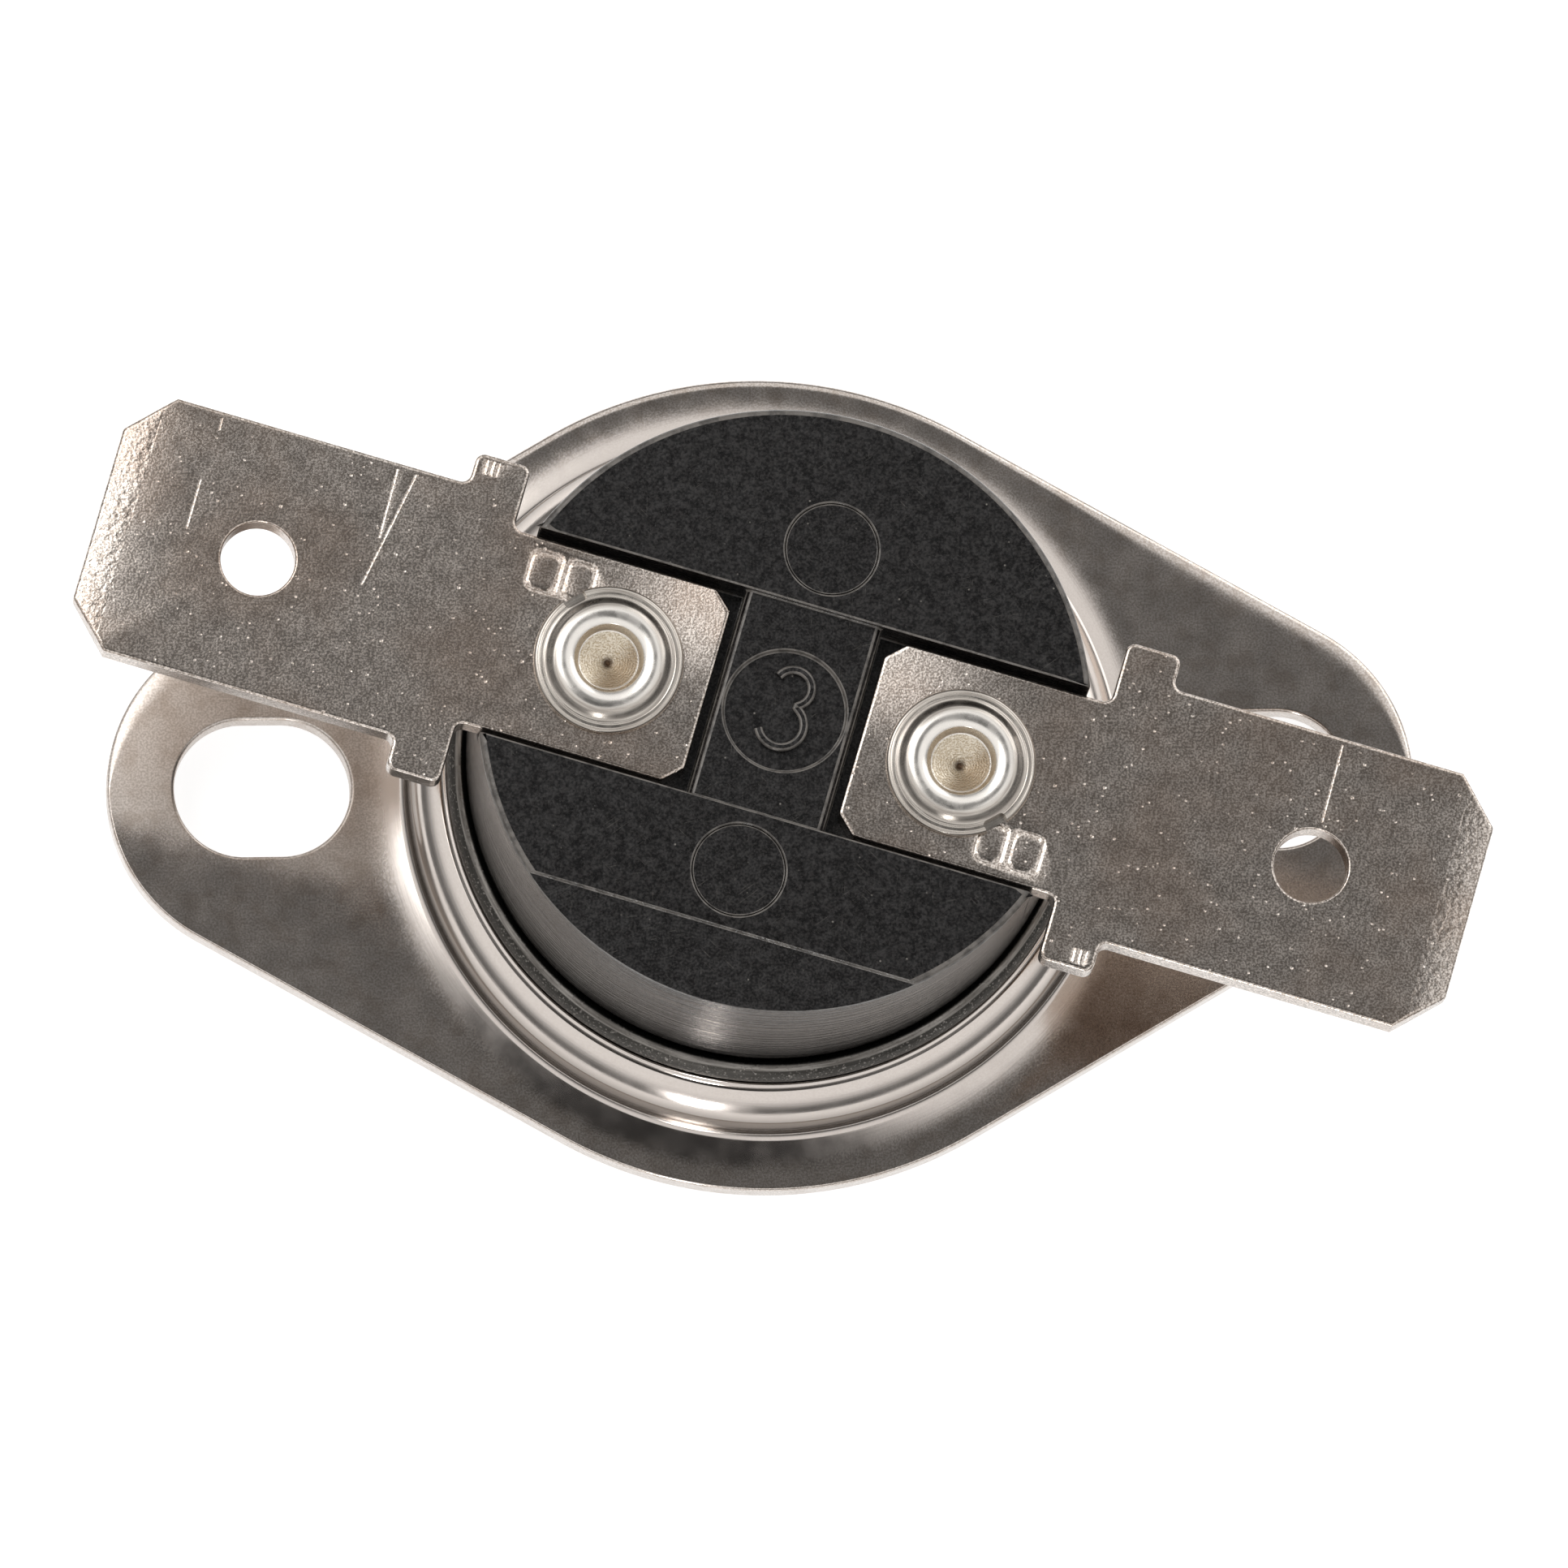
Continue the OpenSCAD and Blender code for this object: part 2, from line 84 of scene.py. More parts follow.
# The steps of a full turn, and the direction of the terminals' line in radians.
ROUND = 256
LINE_TURN = math.radians(-17.1)
# How close points are welded, and how far a cutter overshoots, in millimetres.
WELD = 1e-5
OVERSHOOT = 1.0
# What keeps a sharp corner's mitre short, and the filler's mode: triangles inside the outlines.
MITRE_LEAST = 0.6
INNER_TRIANGLES = 1
# The stretch that holds nearly all values of a cloudy noise, and its middle.
SPREAD = (0.3, 0.7)
MIDDLE = 0.5

log = logging.getLogger("thermostat")


class Side(int, Enum):
    """The two ends of the terminals' line."""

    LEFT = -1
    RIGHT = 1


class Cut(Enum):
    """What a closed shape does to the piece that it is put into."""

    AWAY = "DIFFERENCE"
    JOIN = "UNION"


# Outlines


def arc(centre: Point, radius: float, start: float, end: float, steps: int) -> Loop:
    """Points along a circle.

    Args:
        centre: The circle's centre.
        radius: Its radius.
        start: The first point's angle, in degrees.
        end: The last point's angle, in degrees.
        steps: How many chords the arc has.

    Returns:
        The points, both ends included.
    """
    angles = [math.radians(start + (end - start) * i / steps) for i in range(steps + 1)]
    return [(centre[0] + radius * math.cos(a), centre[1] + radius * math.sin(a)) for a in angles]


def rounded(corners: Sequence[tuple[float, float, float]], steps: int = 6) -> Loop:
    """A closed outline whose corners are filleted.

    Args:
        corners: (x, y, fillet radius) of each corner, 0 where it stays sharp.
        steps: How many chords each fillet has.

    Returns:
        The outline's points, in the order of the corners.
    """
    points: Loop = []
    for i, (x, y, radius) in enumerate(corners):
        here = Vector((x, y))
        if radius <= 0:
            points.append((x, y))
            continue
        back = (Vector(corners[i - 1][:2]) - here).normalized()
        ahead = (Vector(corners[(i + 1) % len(corners)][:2]) - here).normalized()
        half = back.angle(ahead) / 2
        centre = here + (back + ahead).normalized() * (radius / math.sin(half))
        first = here + back * (radius / math.tan(half)) - centre
        last = here + ahead * (radius / math.tan(half)) - centre
        sweep = first.angle_signed(last)
        for k in range(steps + 1):
            turned = first.copy()
            turned.rotate(Matrix.Rotation(-sweep * k / steps, 2))
            points.append(tuple(centre + turned))
    return points


def offset(loop: Loop, distance: float) -> Loop:
    """Moves an outline to the left of its direction, with mitred corners.

    Args:
        loop: The outline.
        distance: How far it moves; negative moves it to the right.

    Returns:
        The moved outline, with as many points.
    """
    moved: Loop = []
    for i, point in enumerate(loop):
        here = Vector(point)
        before = (here - Vector(loop[i - 1])).normalized()
        after = (Vector(loop[(i + 1) % len(loop)]) - here).normalized()
        left = Vector((-before.y, before.x)), Vector((-after.y, after.x))
        mitre = (left[0] + left[1]) / max(1 + left[0].dot(left[1]), MITRE_LEAST)
        moved.append(tuple(here + mitre * distance))
    return moved


def inside(point: Point, loops: Sequence[Loop]) -> bool:
    """Tells metal from holes.

    Args:
        point: A point of the plan.
        loops: The outlines of the metal and of its holes.

    Returns:
        Whether the point lies within an odd number of outlines, so in the metal.
    """
    x, y = point
    odd = False
    for loop in loops:
        for (x0, y0), (x1, y1) in zip(loop, loop[1:] + loop[:1]):
            if (y0 > y) != (y1 > y) and x < x0 + (y - y0) / (y1 - y0) * (x1 - x0):
                odd = not odd
    return odd


def stroke(path: Loop, half_width: float, cap_steps: int = 6) -> Loop:
    """The outline of a pen stroke of constant width with round ends.

    Args:
        path: The stroke's middle line.
        half_width: Half of its width.
        cap_steps: How many chords each round end has.

    Returns:
        A closed outline, counterclockwise.
    """
    ends = Vector(path[0]) * 2 - Vector(path[1]), Vector(path[-1]) * 2 - Vector(path[-2])
    chain = [tuple(ends[0]), *path, tuple(ends[1])]
    right = offset(chain, -half_width)[1:-1]
    left = offset(chain, half_width)[1:-1]

    def cap(at: Point, side: Point) -> Loop:
        """Half a circle round an end.

        Args:
            at: The end of the middle line.
            side: The point where the half circle starts.

        Returns:
            The points between the two sides.
        """
        spoke = Vector(side) - Vector(at)
        turns = [Matrix.Rotation(math.pi * k / cap_steps, 2) @ spoke for k in range(1, cap_steps)]
        return [tuple(Vector(at) + turn) for turn in turns]

    return right + cap(path[-1], right[-1]) + left[::-1] + cap(path[0], left[0])


def frame_of(path: Loop, half_width: float) -> list[Loop]:
    """The two outlines of a pen stroke along a closed counterclockwise line."""
    return [offset(path, -half_width), offset(path, half_width)[::-1]]


# Nodes and meshes


def add(tree: Any, kind: str, inputs: dict[Any, Any] | None = None, **settings: Any) -> Any:
    """Adds a node to a tree, with its settings and its links.

    Args:
        tree: The node tree.
        kind: The node's type.
        inputs: A fixed value, a socket or a Reading for each input's name or number.
        **settings: The node's own properties.

    Returns:
        The new node.
    """
    node = tree.nodes.new(kind)
    for name, value in settings.items():
        setattr(node, name, value)
    for name, value in (inputs or {}).items():
        feed(tree, node.inputs[name], value)
    return node


def feed(tree: Any, entry: Any, value: Any) -> None:
    """Gives a node's input its value.

    Args:
        tree: The node tree.
        entry: The input.
        value: A fixed value, a socket to link from, or a Reading.
    """
    source = value.socket if isinstance(value, Reading) else value
    if isinstance(source, bpy.types.NodeSocket):
        tree.links.new(source, entry)
    else:
        entry.default_value = source


def new_object(name: str, mesh: bpy.types.Mesh) -> bpy.types.Object:
    """Puts a mesh in the scene as an object at the origin.

    Args:
        name: The object's name.
        mesh: Its mesh.

    Returns:
        The new object.
    """
    obj = bpy.data.objects.new(name, mesh)
    bpy.context.scene.collection.objects.link(obj)
    return obj


def drop(*objects: bpy.types.Object) -> None:
    """Removes working objects that the scene no longer needs."""
    for obj in objects:
        bpy.data.objects.remove(obj)


def wire(name: str, points: Iterable[Sequence[float]], closed: bool = False) -> bpy.types.Object:
    """An object that is only a chain of edges: a section, or a path.

    Args:
        name: The object's name.
        points: The chain's points; missing coordinates are 0.
        closed: Whether the last point joins the first.

    Returns:
        The new object.
    """
    spots = [tuple(p) + (0.0,) * (3 - len(p)) for p in points]
    links = [(i, i + 1) for i in range(len(spots) - 1)]
    mesh = bpy.data.meshes.new(name)
    mesh.from_pydata(spots, links + ([(len(spots) - 1, 0)] if closed else []), [])
    return new_object(name, mesh)


def baked(obj: bpy.types.Object) -> bpy.types.Object:
    """Turns an object's modifiers into its plain mesh and removes them.

    Args:
        obj: The object.

    Returns:
        The same object.
    """
    bpy.context.view_layer.update()
    evaluated = obj.evaluated_get(bpy.context.evaluated_depsgraph_get())
    mesh = bpy.data.meshes.new_from_object(evaluated)
    obj.modifiers.clear()
    old, obj.data = obj.data, mesh
    bpy.data.meshes.remove(old)
    mesh.name = obj.name
    return obj


def grow(obj: bpy.types.Object, tree: bpy.types.NodeTree, **sizes: Any) -> bpy.types.Object:
    """Runs a Geometry Nodes tree on an object and keeps its result as a plain mesh.

    Args:
        obj: The object that carries the section, path or stamping.
        tree: The tree to run.
        **sizes: A value for each of the tree's named inputs, with _ for a space.

    Returns:
        The same object, with its modifier baked in.
    """
    modifier = obj.modifiers.new(tree.name, "NODES")
    modifier.node_group = tree
    sockets = {i.name: i.identifier for i in tree.interface.items_tree if i.in_out == "INPUT"}
    for name, value in sizes.items():
        modifier[sockets[name.replace("_", " ")]] = value
    return baked(obj)


def tidy_normals(mesh: bpy.types.Mesh) -> None:
    """Merges doubled points, drops empty faces and turns every face outwards.

    Args:
        mesh: The mesh, in millimetres.
    """
    shape = bmesh.new()
    shape.from_mesh(mesh)
    bmesh.ops.remove_doubles(shape, verts=shape.verts, dist=WELD)
    bmesh.ops.dissolve_degenerate(shape, dist=WELD, edges=shape.edges)
    bmesh.ops.recalc_face_normals(shape, faces=shape.faces)
    shape.to_mesh(mesh)
    shape.free()


def shade(obj: bpy.types.Object, sharp_over: float = 32.0) -> bpy.types.Object:
    """Smooth shading with crisp edges, its normals weighted by the faces' area.

    Args:
        obj: The piece.
        sharp_over: The bend from which an edge is crisp, in degrees.

    Returns:
        The same piece.
    """
    mesh = obj.data
    mesh.shade_smooth()
    shape = bmesh.new()
    shape.from_mesh(mesh)
    limit = math.radians(sharp_over)
    for edge in shape.edges:
        bent = len(edge.link_faces) != 2 or edge.calc_face_angle(0.0) >= limit
        edge.smooth = edge.smooth and not bent
    shape.to_mesh(mesh)
    shape.free()
    weighted = obj.modifiers.new("weighted", "WEIGHTED_NORMAL")
    weighted.keep_sharp = True
    return baked(obj)


def worn(obj: bpy.types.Object, narrow: float = 0.04, upward: float = 0.1) -> bpy.types.Object:
    """Marks the narrow upward faces of rims and ridges, where handling rubs a surface pale.

    Args:
        obj: The piece, in millimetres.
        narrow: How wide such a face is at most.
        upward: How far its normal points up at least.

    Returns:
        The same piece, with the face attribute wear.
    """
    mesh = obj.data
    rubbed = []
    for polygon in mesh.polygons:
        places = [mesh.vertices[i].co for i in polygon.vertices]
        longest = max((a - b).length for a, b in zip(places, places[1:] + places[:1]))
        rubbed.append(float(polygon.normal.z > upward and polygon.area < narrow * longest))
    mesh.attributes.new("wear", "FLOAT", "FACE").data.foreach_set("value", rubbed)
    return obj


def settle(obj: bpy.types.Object, finish: bpy.types.Material) -> bpy.types.Object:
    """Turns a finished piece from millimetres to metres and gives it its material.

    Args:
        obj: The piece, in millimetres.
        finish: Its material.

    Returns:
        The same piece, in metres.
    """
    obj.data.transform(Matrix.Scale(MM, 4))
    obj.data.materials.clear()
    obj.data.materials.append(finish)
    for polygon in obj.data.polygons:
        polygon.material_index = 0
    return obj


def carve(obj: bpy.types.Object, cutter: bpy.types.Object, how: Cut = Cut.AWAY) -> None:
    """Cuts one closed shape from another, or joins it on, and removes the cutter.

    Args:
        obj: The piece.
        cutter: The closed shape.
        how: Whether it is cut away or joined on.
    """
    modifier = obj.modifiers.new("carve", "BOOLEAN")
    modifier.operation = how.value
    modifier.solver = "EXACT"
    modifier.object = cutter
    baked(obj)
    drop(cutter)


def prism(name: str, outline: Loop, low: float, high: float, lay: Matrix) -> bpy.types.Object:
    """A closed block with a flat outline.

    Args:
        name: The block's name.
        outline: Its outline, counterclockwise.
        low: Where the block starts along the outline's normal.
        high: Where it ends.
        lay: Places the block.

    Returns:
        The new object.
    """
    count = len(outline)
    spots = [(x, y, z) for z in (low, high) for x, y in outline]
    walls = [(i, (i + 1) % count, count + (i + 1) % count, count + i) for i in range(count)]
    mesh = bpy.data.meshes.new(name)
    mesh.from_pydata(spots, [], [tuple(range(count))[::-1], tuple(range(count, 2 * count)), *walls])
    mesh.transform(lay)
    return new_object(name, mesh)


def on_line(x: float = 0.0, y: float = 0.0, z: float = 0.0) -> Matrix:
    """Places a shape on the terminals' line, x along it from the centre."""
    return Matrix.Rotation(LINE_TURN, 4, "Z") @ Matrix.Translation((x, y, z))


# Node trees that make shapes


def shape_tree(name: str, sizes: dict[str, tuple[str, Any]]) -> tuple[Any, Any]:
    """Starts a Geometry Nodes tree with named inputs.

    Args:
        name: The tree's name.
        sizes: For each input, its socket type and default value.

    Returns:
        The tree and its input node.
    """
    tree = bpy.data.node_groups.new(name, "GeometryNodeTree")
    tree.interface.new_socket("Geometry", in_out="OUTPUT", socket_type="NodeSocketGeometry")
    tree.interface.new_socket("Geometry", in_out="INPUT", socket_type="NodeSocketGeometry")
    for label, (kind, value) in sizes.items():
        socket = tree.interface.new_socket(label, in_out="INPUT", socket_type=kind)
        if value is not None:
            socket.default_value = value
    return tree, add(tree, "NodeGroupInput")


def close_tree(tree: Any, shape: Any, finish: Any) -> None:
    """Ends a tree in realised instances with the piece's material set.

    Args:
        tree: The tree.
        shape: The socket of its shape.
        finish: The socket of its material.
    """
    real = add(tree, "GeometryNodeRealizeInstances", {"Geometry": shape})
    dressed = add(tree, "GeometryNodeSetMaterial",
                  {"Geometry": real.outputs[0], "Material": finish})
    add(tree, "NodeGroupOutput", {0: dressed.outputs[0]})


def spin_tree() -> bpy.types.NodeTree:
    """Spins a section, a chain of edges in (radius - 1, -height), about Z and places it.

    Returns:
        The tree.
    """
    tree, sizes = shape_tree("spin a section", {
        "Steps": ("NodeSocketInt", ROUND),
        "Merge": ("NodeSocketFloat", 1e-4),
        "Place": ("NodeSocketVector", None),
        "Material": ("NodeSocketMaterial", None),
    })
    section = add(tree, "GeometryNodeMeshToCurve", {"Mesh": sizes.outputs["Geometry"]})
    path = add(tree, "GeometryNodeCurvePrimitiveCircle",
               {"Resolution": sizes.outputs["Steps"], "Radius": 1.0})
    skin = add(tree, "GeometryNodeCurveToMesh",
               {"Curve": path.outputs[0], "Profile Curve": section.outputs[0]})
    closed = add(tree, "GeometryNodeMergeByDistance",
                 {"Geometry": skin.outputs[0], "Distance": sizes.outputs["Merge"]})
    placed = add(tree, "GeometryNodeTransform",
                 {"Geometry": closed.outputs[0], "Translation": sizes.outputs["Place"]})
    close_tree(tree, placed.outputs[0], sizes.outputs["Material"])
    return tree


def bead_tree() -> bpy.types.NodeTree:
    """Runs a low, flat-topped bead along a path: the stroke of a raised numeral.

    Returns:
        The tree.
    """
    tree, sizes = shape_tree("bead along a path", {
        "Width": ("NodeSocketFloat", 0.3),
        "Height": ("NodeSocketFloat", 0.1),
        "Round": ("NodeSocketFloat", 0.05),
        "Material": ("NodeSocketMaterial", None),
    })
    path = add(tree, "GeometryNodeMeshToCurve", {"Mesh": sizes.outputs["Geometry"]})
    face = add(tree, "GeometryNodeCurvePrimitiveQuadrilateral",
               {"Width": sizes.outputs["Height"], "Height": sizes.outputs["Width"]})
    soft = add(tree, "GeometryNodeFilletCurve",
               {"Curve": face.outputs[0], "Count": 3, "Radius": sizes.outputs["Round"]},
               mode="POLY")
    skin = add(tree, "GeometryNodeCurveToMesh",
               {"Curve": path.outputs[0], "Profile Curve": soft.outputs[0], "Fill Caps": True})
    close_tree(tree, skin.outputs[0], sizes.outputs["Material"])
    return tree


def stamp_tree() -> bpy.types.NodeTree:
    """Sets a stamping at its rivet: out along X, then turned about Z.

    Returns:
        The tree.
    """
    tree, sizes = shape_tree("set a stamping", {
        "Out": ("NodeSocketFloat", 0.0),
        "Turn": ("NodeSocketFloat", 0.0),
        "Material": ("NodeSocketMaterial", None),
    })
    spot = add(tree, "ShaderNodeCombineXYZ", {"X": sizes.outputs["Out"]})
    moved = add(tree, "GeometryNodeTransform",
                {"Geometry": sizes.outputs["Geometry"], "Translation": spot.outputs[0]})
    turn = add(tree, "ShaderNodeCombineXYZ", {"Z": sizes.outputs["Turn"]})
    turned = add(tree, "GeometryNodeTransform",
                 {"Geometry": moved.outputs[0], "Rotation": turn.outputs[0]})
    close_tree(tree, turned.outputs[0], sizes.outputs["Material"])
    return tree


@dataclass
class Workshop:
    """The trees that shape the pieces."""

    spinner: bpy.types.NodeTree = field(default_factory=spin_tree)
    beader: bpy.types.NodeTree = field(default_factory=bead_tree)
    stamper: bpy.types.NodeTree = field(default_factory=stamp_tree)
    bead_round: float = 0.3

    def spin(self, name: str, section: Loop, closed: bool = False, steps: int = ROUND,
             place: Sequence[float] = (0, 0, 0)) -> bpy.types.Object:
        """Spins a section about Z.

        Args:
            name: The piece's name.
            section: (radius, height) points, clockwise, so that faces point outwards.
            closed: Whether the section is a ring clear of the axis.
            steps: How many steps a full turn has.
            place: Where the axis stands.

        Returns:
            The spun piece, in millimetres.
        """
        obj = wire(name, [(r - 1, -z) for r, z in section], closed)
        grow(obj, self.spinner, Steps=steps, Place=place)
        tidy_normals(obj.data)
        return obj

    def bead(self, name: str, path: Loop, height: float, width: float,
             depth: float) -> bpy.types.Object:
        """A bead with its middle at a height.

        Args:
            name: The piece's name.
            path: Its middle line.
            height: The height of that line.
            width: The bead's width.
            depth: The bead's thickness.

        Returns:
            The bead, in millimetres.
        """
        obj = wire(name, [(x, y, height) for x, y in path])
        grow(obj, self.beader, Width=width, Height=depth, Round=depth * self.bead_round)
        tidy_normals(obj.data)
        return obj


# Flat pressed pieces


@dataclass
class Plate:
    """A flat sheet piece with rounded edges and stamped grooves.

    Outer outlines run counterclockwise and holes clockwise, so that the metal lies on their left.
    A groove is its half width, its brims and its floors: outlines in pairs of equally many points.
    """

    low: float
    high: float
    outer: Loop
    holes: list[Loop] = field(default_factory=list)
    joins: list[Loop] = field(default_factory=list)
    grooves: list[tuple[float, list[Loop], list[Loop]]] = field(default_factory=list)
    creases: list[tuple[Point, Point]] = field(default_factory=list)
    round_high: float = 0.05
    round_low: float = 0.03
    roll: Point = (0.05, 0.05)
    room: Callable[[Point], float] | None = None
    groove_fall: float = 0.45
    round_steps: int = 5
    same_spot: float = 1e-7

    def edge(self, loop: Loop, outer: bool) -> list[list[tuple[float, float, float]]]:
        """Rows of points round an edge, from the lower face to the upper one.

        Args:
            loop: The edge's outline.
            outer: Whether it is the outer outline, whose upper edge rolls over as it is sheared.

        Returns:
            One row of points for each height.
        """
        lean = [Vector(b) - Vector(a) for a, b in zip(loop, offset(loop, 1.0))]
        width, depth = self.roll if outer else (self.round_high, self.round_high)
        widths = [min(width, self.room(p)) if outer and self.room else width for p in loop]
        rows = []
        for upper in (False, True):
            for k in range(self.round_steps + 1):
                turn = math.pi / 2 * (k if upper else self.round_steps - k) / self.round_steps
                part, sunk = 1 - math.cos(turn), 1 - math.sin(turn)
                z = self.high - depth * sunk if upper else self.low + self.round_low * sunk
                bends = widths if upper else [self.round_low] * len(loop)
                insets = [bend * part for bend in bends]
                rows.append([(p[0] + d.x * i, p[1] + d.y * i, z)
                             for p, d, i in zip(loop, lean, insets)])
        return rows

    def mesh(self, name: str, lift: Callable[[Point, bool], float] | None = None) -> bpy.types.Mesh:
        """Builds the closed mesh.

        Args:
            name: The mesh's name.
            lift: Height to add at a point of the plan, for the upper face (True) or the lower.

        Returns:
            The mesh, in millimetres.
        """
        shape = bmesh.new()

        def row(loop: Loop, height: float) -> list[Any]:
            """One ring of points at a height."""
            return [shape.verts.new((x, y, height)) for x, y in loop]

        def band(lower: list[Any], upper: list[Any]) -> None:
            """Faces between two rings, pointing to the right of their direction."""
            count = len(lower)
            for i in range(count):
                j = (i + 1) % count
                shape.faces.new((lower[i], lower[j], upper[j], upper[i]))

        def fill(rings: list[list[Any]], up: bool,
                 extra: Sequence[tuple[Point, Point]] = ()) -> None:
            """Triangles over the region that the rings bound.

            Args:
                rings: The rings of points, outer ones and holes.
                up: Whether the faces point upwards.
                extra: The two ends of each crease, along which an edge stays sharp.
            """
            verts = [v for ring in rings for v in ring]
            edges, first, folds = [], 0, []
            for ring in rings:
                edges += [(first + i, first + (i + 1) % len(ring)) for i in range(len(ring))]
                first += len(ring)
            for ends in extra:
                folds.append(tuple(
                    min(range(len(verts)), key=lambda i: (verts[i].co.xy - Vector(end)).length)
                    for end in ends))
            flat = [v.co.xy.copy() for v in verts]
            loops = [[tuple(v.co.xy) for v in ring] for ring in rings]
            _, _, faces, origin, _, _ = delaunay_2d_cdt(flat, edges + folds, [], INNER_TRIANGLES,
                                                        self.same_spot)
            for face in faces:
                corners = [verts[origin[i][0]] for i in face]
                if inside(tuple(sum((v.co.xy for v in corners), Vector((0, 0))) / 3), loops):
                    shape.faces.new(corners if up else corners[::-1])
            for a, b in folds:
                shape.edges.get((verts[a], verts[b])).smooth = False

        tops, bottoms = [], []
        for loop in (self.outer, *self.holes):
            rim = self.edge(loop, loop is self.outer)
            rows = [[shape.verts.new(p) for p in points] for points in rim]
            for lower, upper in zip(rows, rows[1:]):
                band(lower, upper)
            bottoms.append(rows[0])
            tops.append(rows[-1])
        for loop in self.joins:
            bottoms.append(row(loop, self.low))
            tops.append(row(loop, self.high))
        for half, brims, floors in self.grooves:
            sunk = [row(floor, self.high - half * self.groove_fall) for floor in floors]
            level = [row(brim, self.high) for brim in brims]
            for lower, upper in zip(sunk, level):
                band(lower, upper)
            fill(sunk, True)
            tops += level
        fill(tops, True, self.creases)
        fill(bottoms, False, self.creases)
        if lift:
            middle = (self.low + self.high) / 2
            for vert in shape.verts:
                vert.co.z += lift((vert.co.x, vert.co.y), vert.co.z > middle)
        mesh = bpy.data.meshes.new(name)
        shape.to_mesh(mesh)
        shape.free()
        return mesh


# Finishes


def linear(code: str) -> tuple[float, float, float, float]:
    """Turns an sRGB hex colour into the linear values that a shader takes."""
    parts = [int(code.lstrip("#")[i:i + 2], 16) / 255 for i in (0, 2, 4)]
    return (*(c / 12.92 if c <= 0.04045 else ((c + 0.055) / 1.055) ** 2.4 for c in parts), 1.0)


@dataclass(frozen=True)
class Reading:
    """A number read over a surface or the sky; arithmetic with it adds nodes to its tree."""

    tree: Any
    socket: Any

    def step(self, how: str, *others: Any) -> "Reading":
        """One step of arithmetic that has this value first."""
        terms = dict(enumerate((self, *others)))
        return Reading(self.tree, add(self.tree, "ShaderNodeMath", terms, operation=how).outputs[0])

    def __add__(self, other: Any) -> "Reading":
        """This value plus another."""
        return self.step("ADD", other)

    def __sub__(self, other: Any) -> "Reading":
        """This value minus another."""
        return self.step("SUBTRACT", other)

    def __mul__(self, other: Any) -> "Reading":
        """This value times another."""
        return self.step("MULTIPLY", other)

    def __abs__(self) -> "Reading":
        """This value without its sign."""
        return self.step("ABSOLUTE")

    def most(self, other: Any) -> "Reading":
        """The larger of this value and another."""
        return self.step("MAXIMUM", other)

    def ramp(self, ends: Span, to: Span = (0.0, 1.0)) -> "Reading":
        """This value's stretch between two ends, mapped to another range.

        Args:
            ends: The values that become the first and the last of the new range.
            to: The new range, past which nothing goes.

        Returns:
            The mapped value, with soft ends.
        """
        node = add(self.tree, "ShaderNodeMapRange",
                   {"Value": self, "From Min": ends[0], "From Max": ends[1], "To Min": to[0],
                    "To Max": to[1]}, interpolation_type="SMOOTHSTEP")
        return Reading(self.tree, node.outputs[0])


def reach(x: Reading, y: Reading) -> Reading:
    """How far a point is from an axis, from its two steps away from it."""
    return (x * x + y * y).step("SQRT")


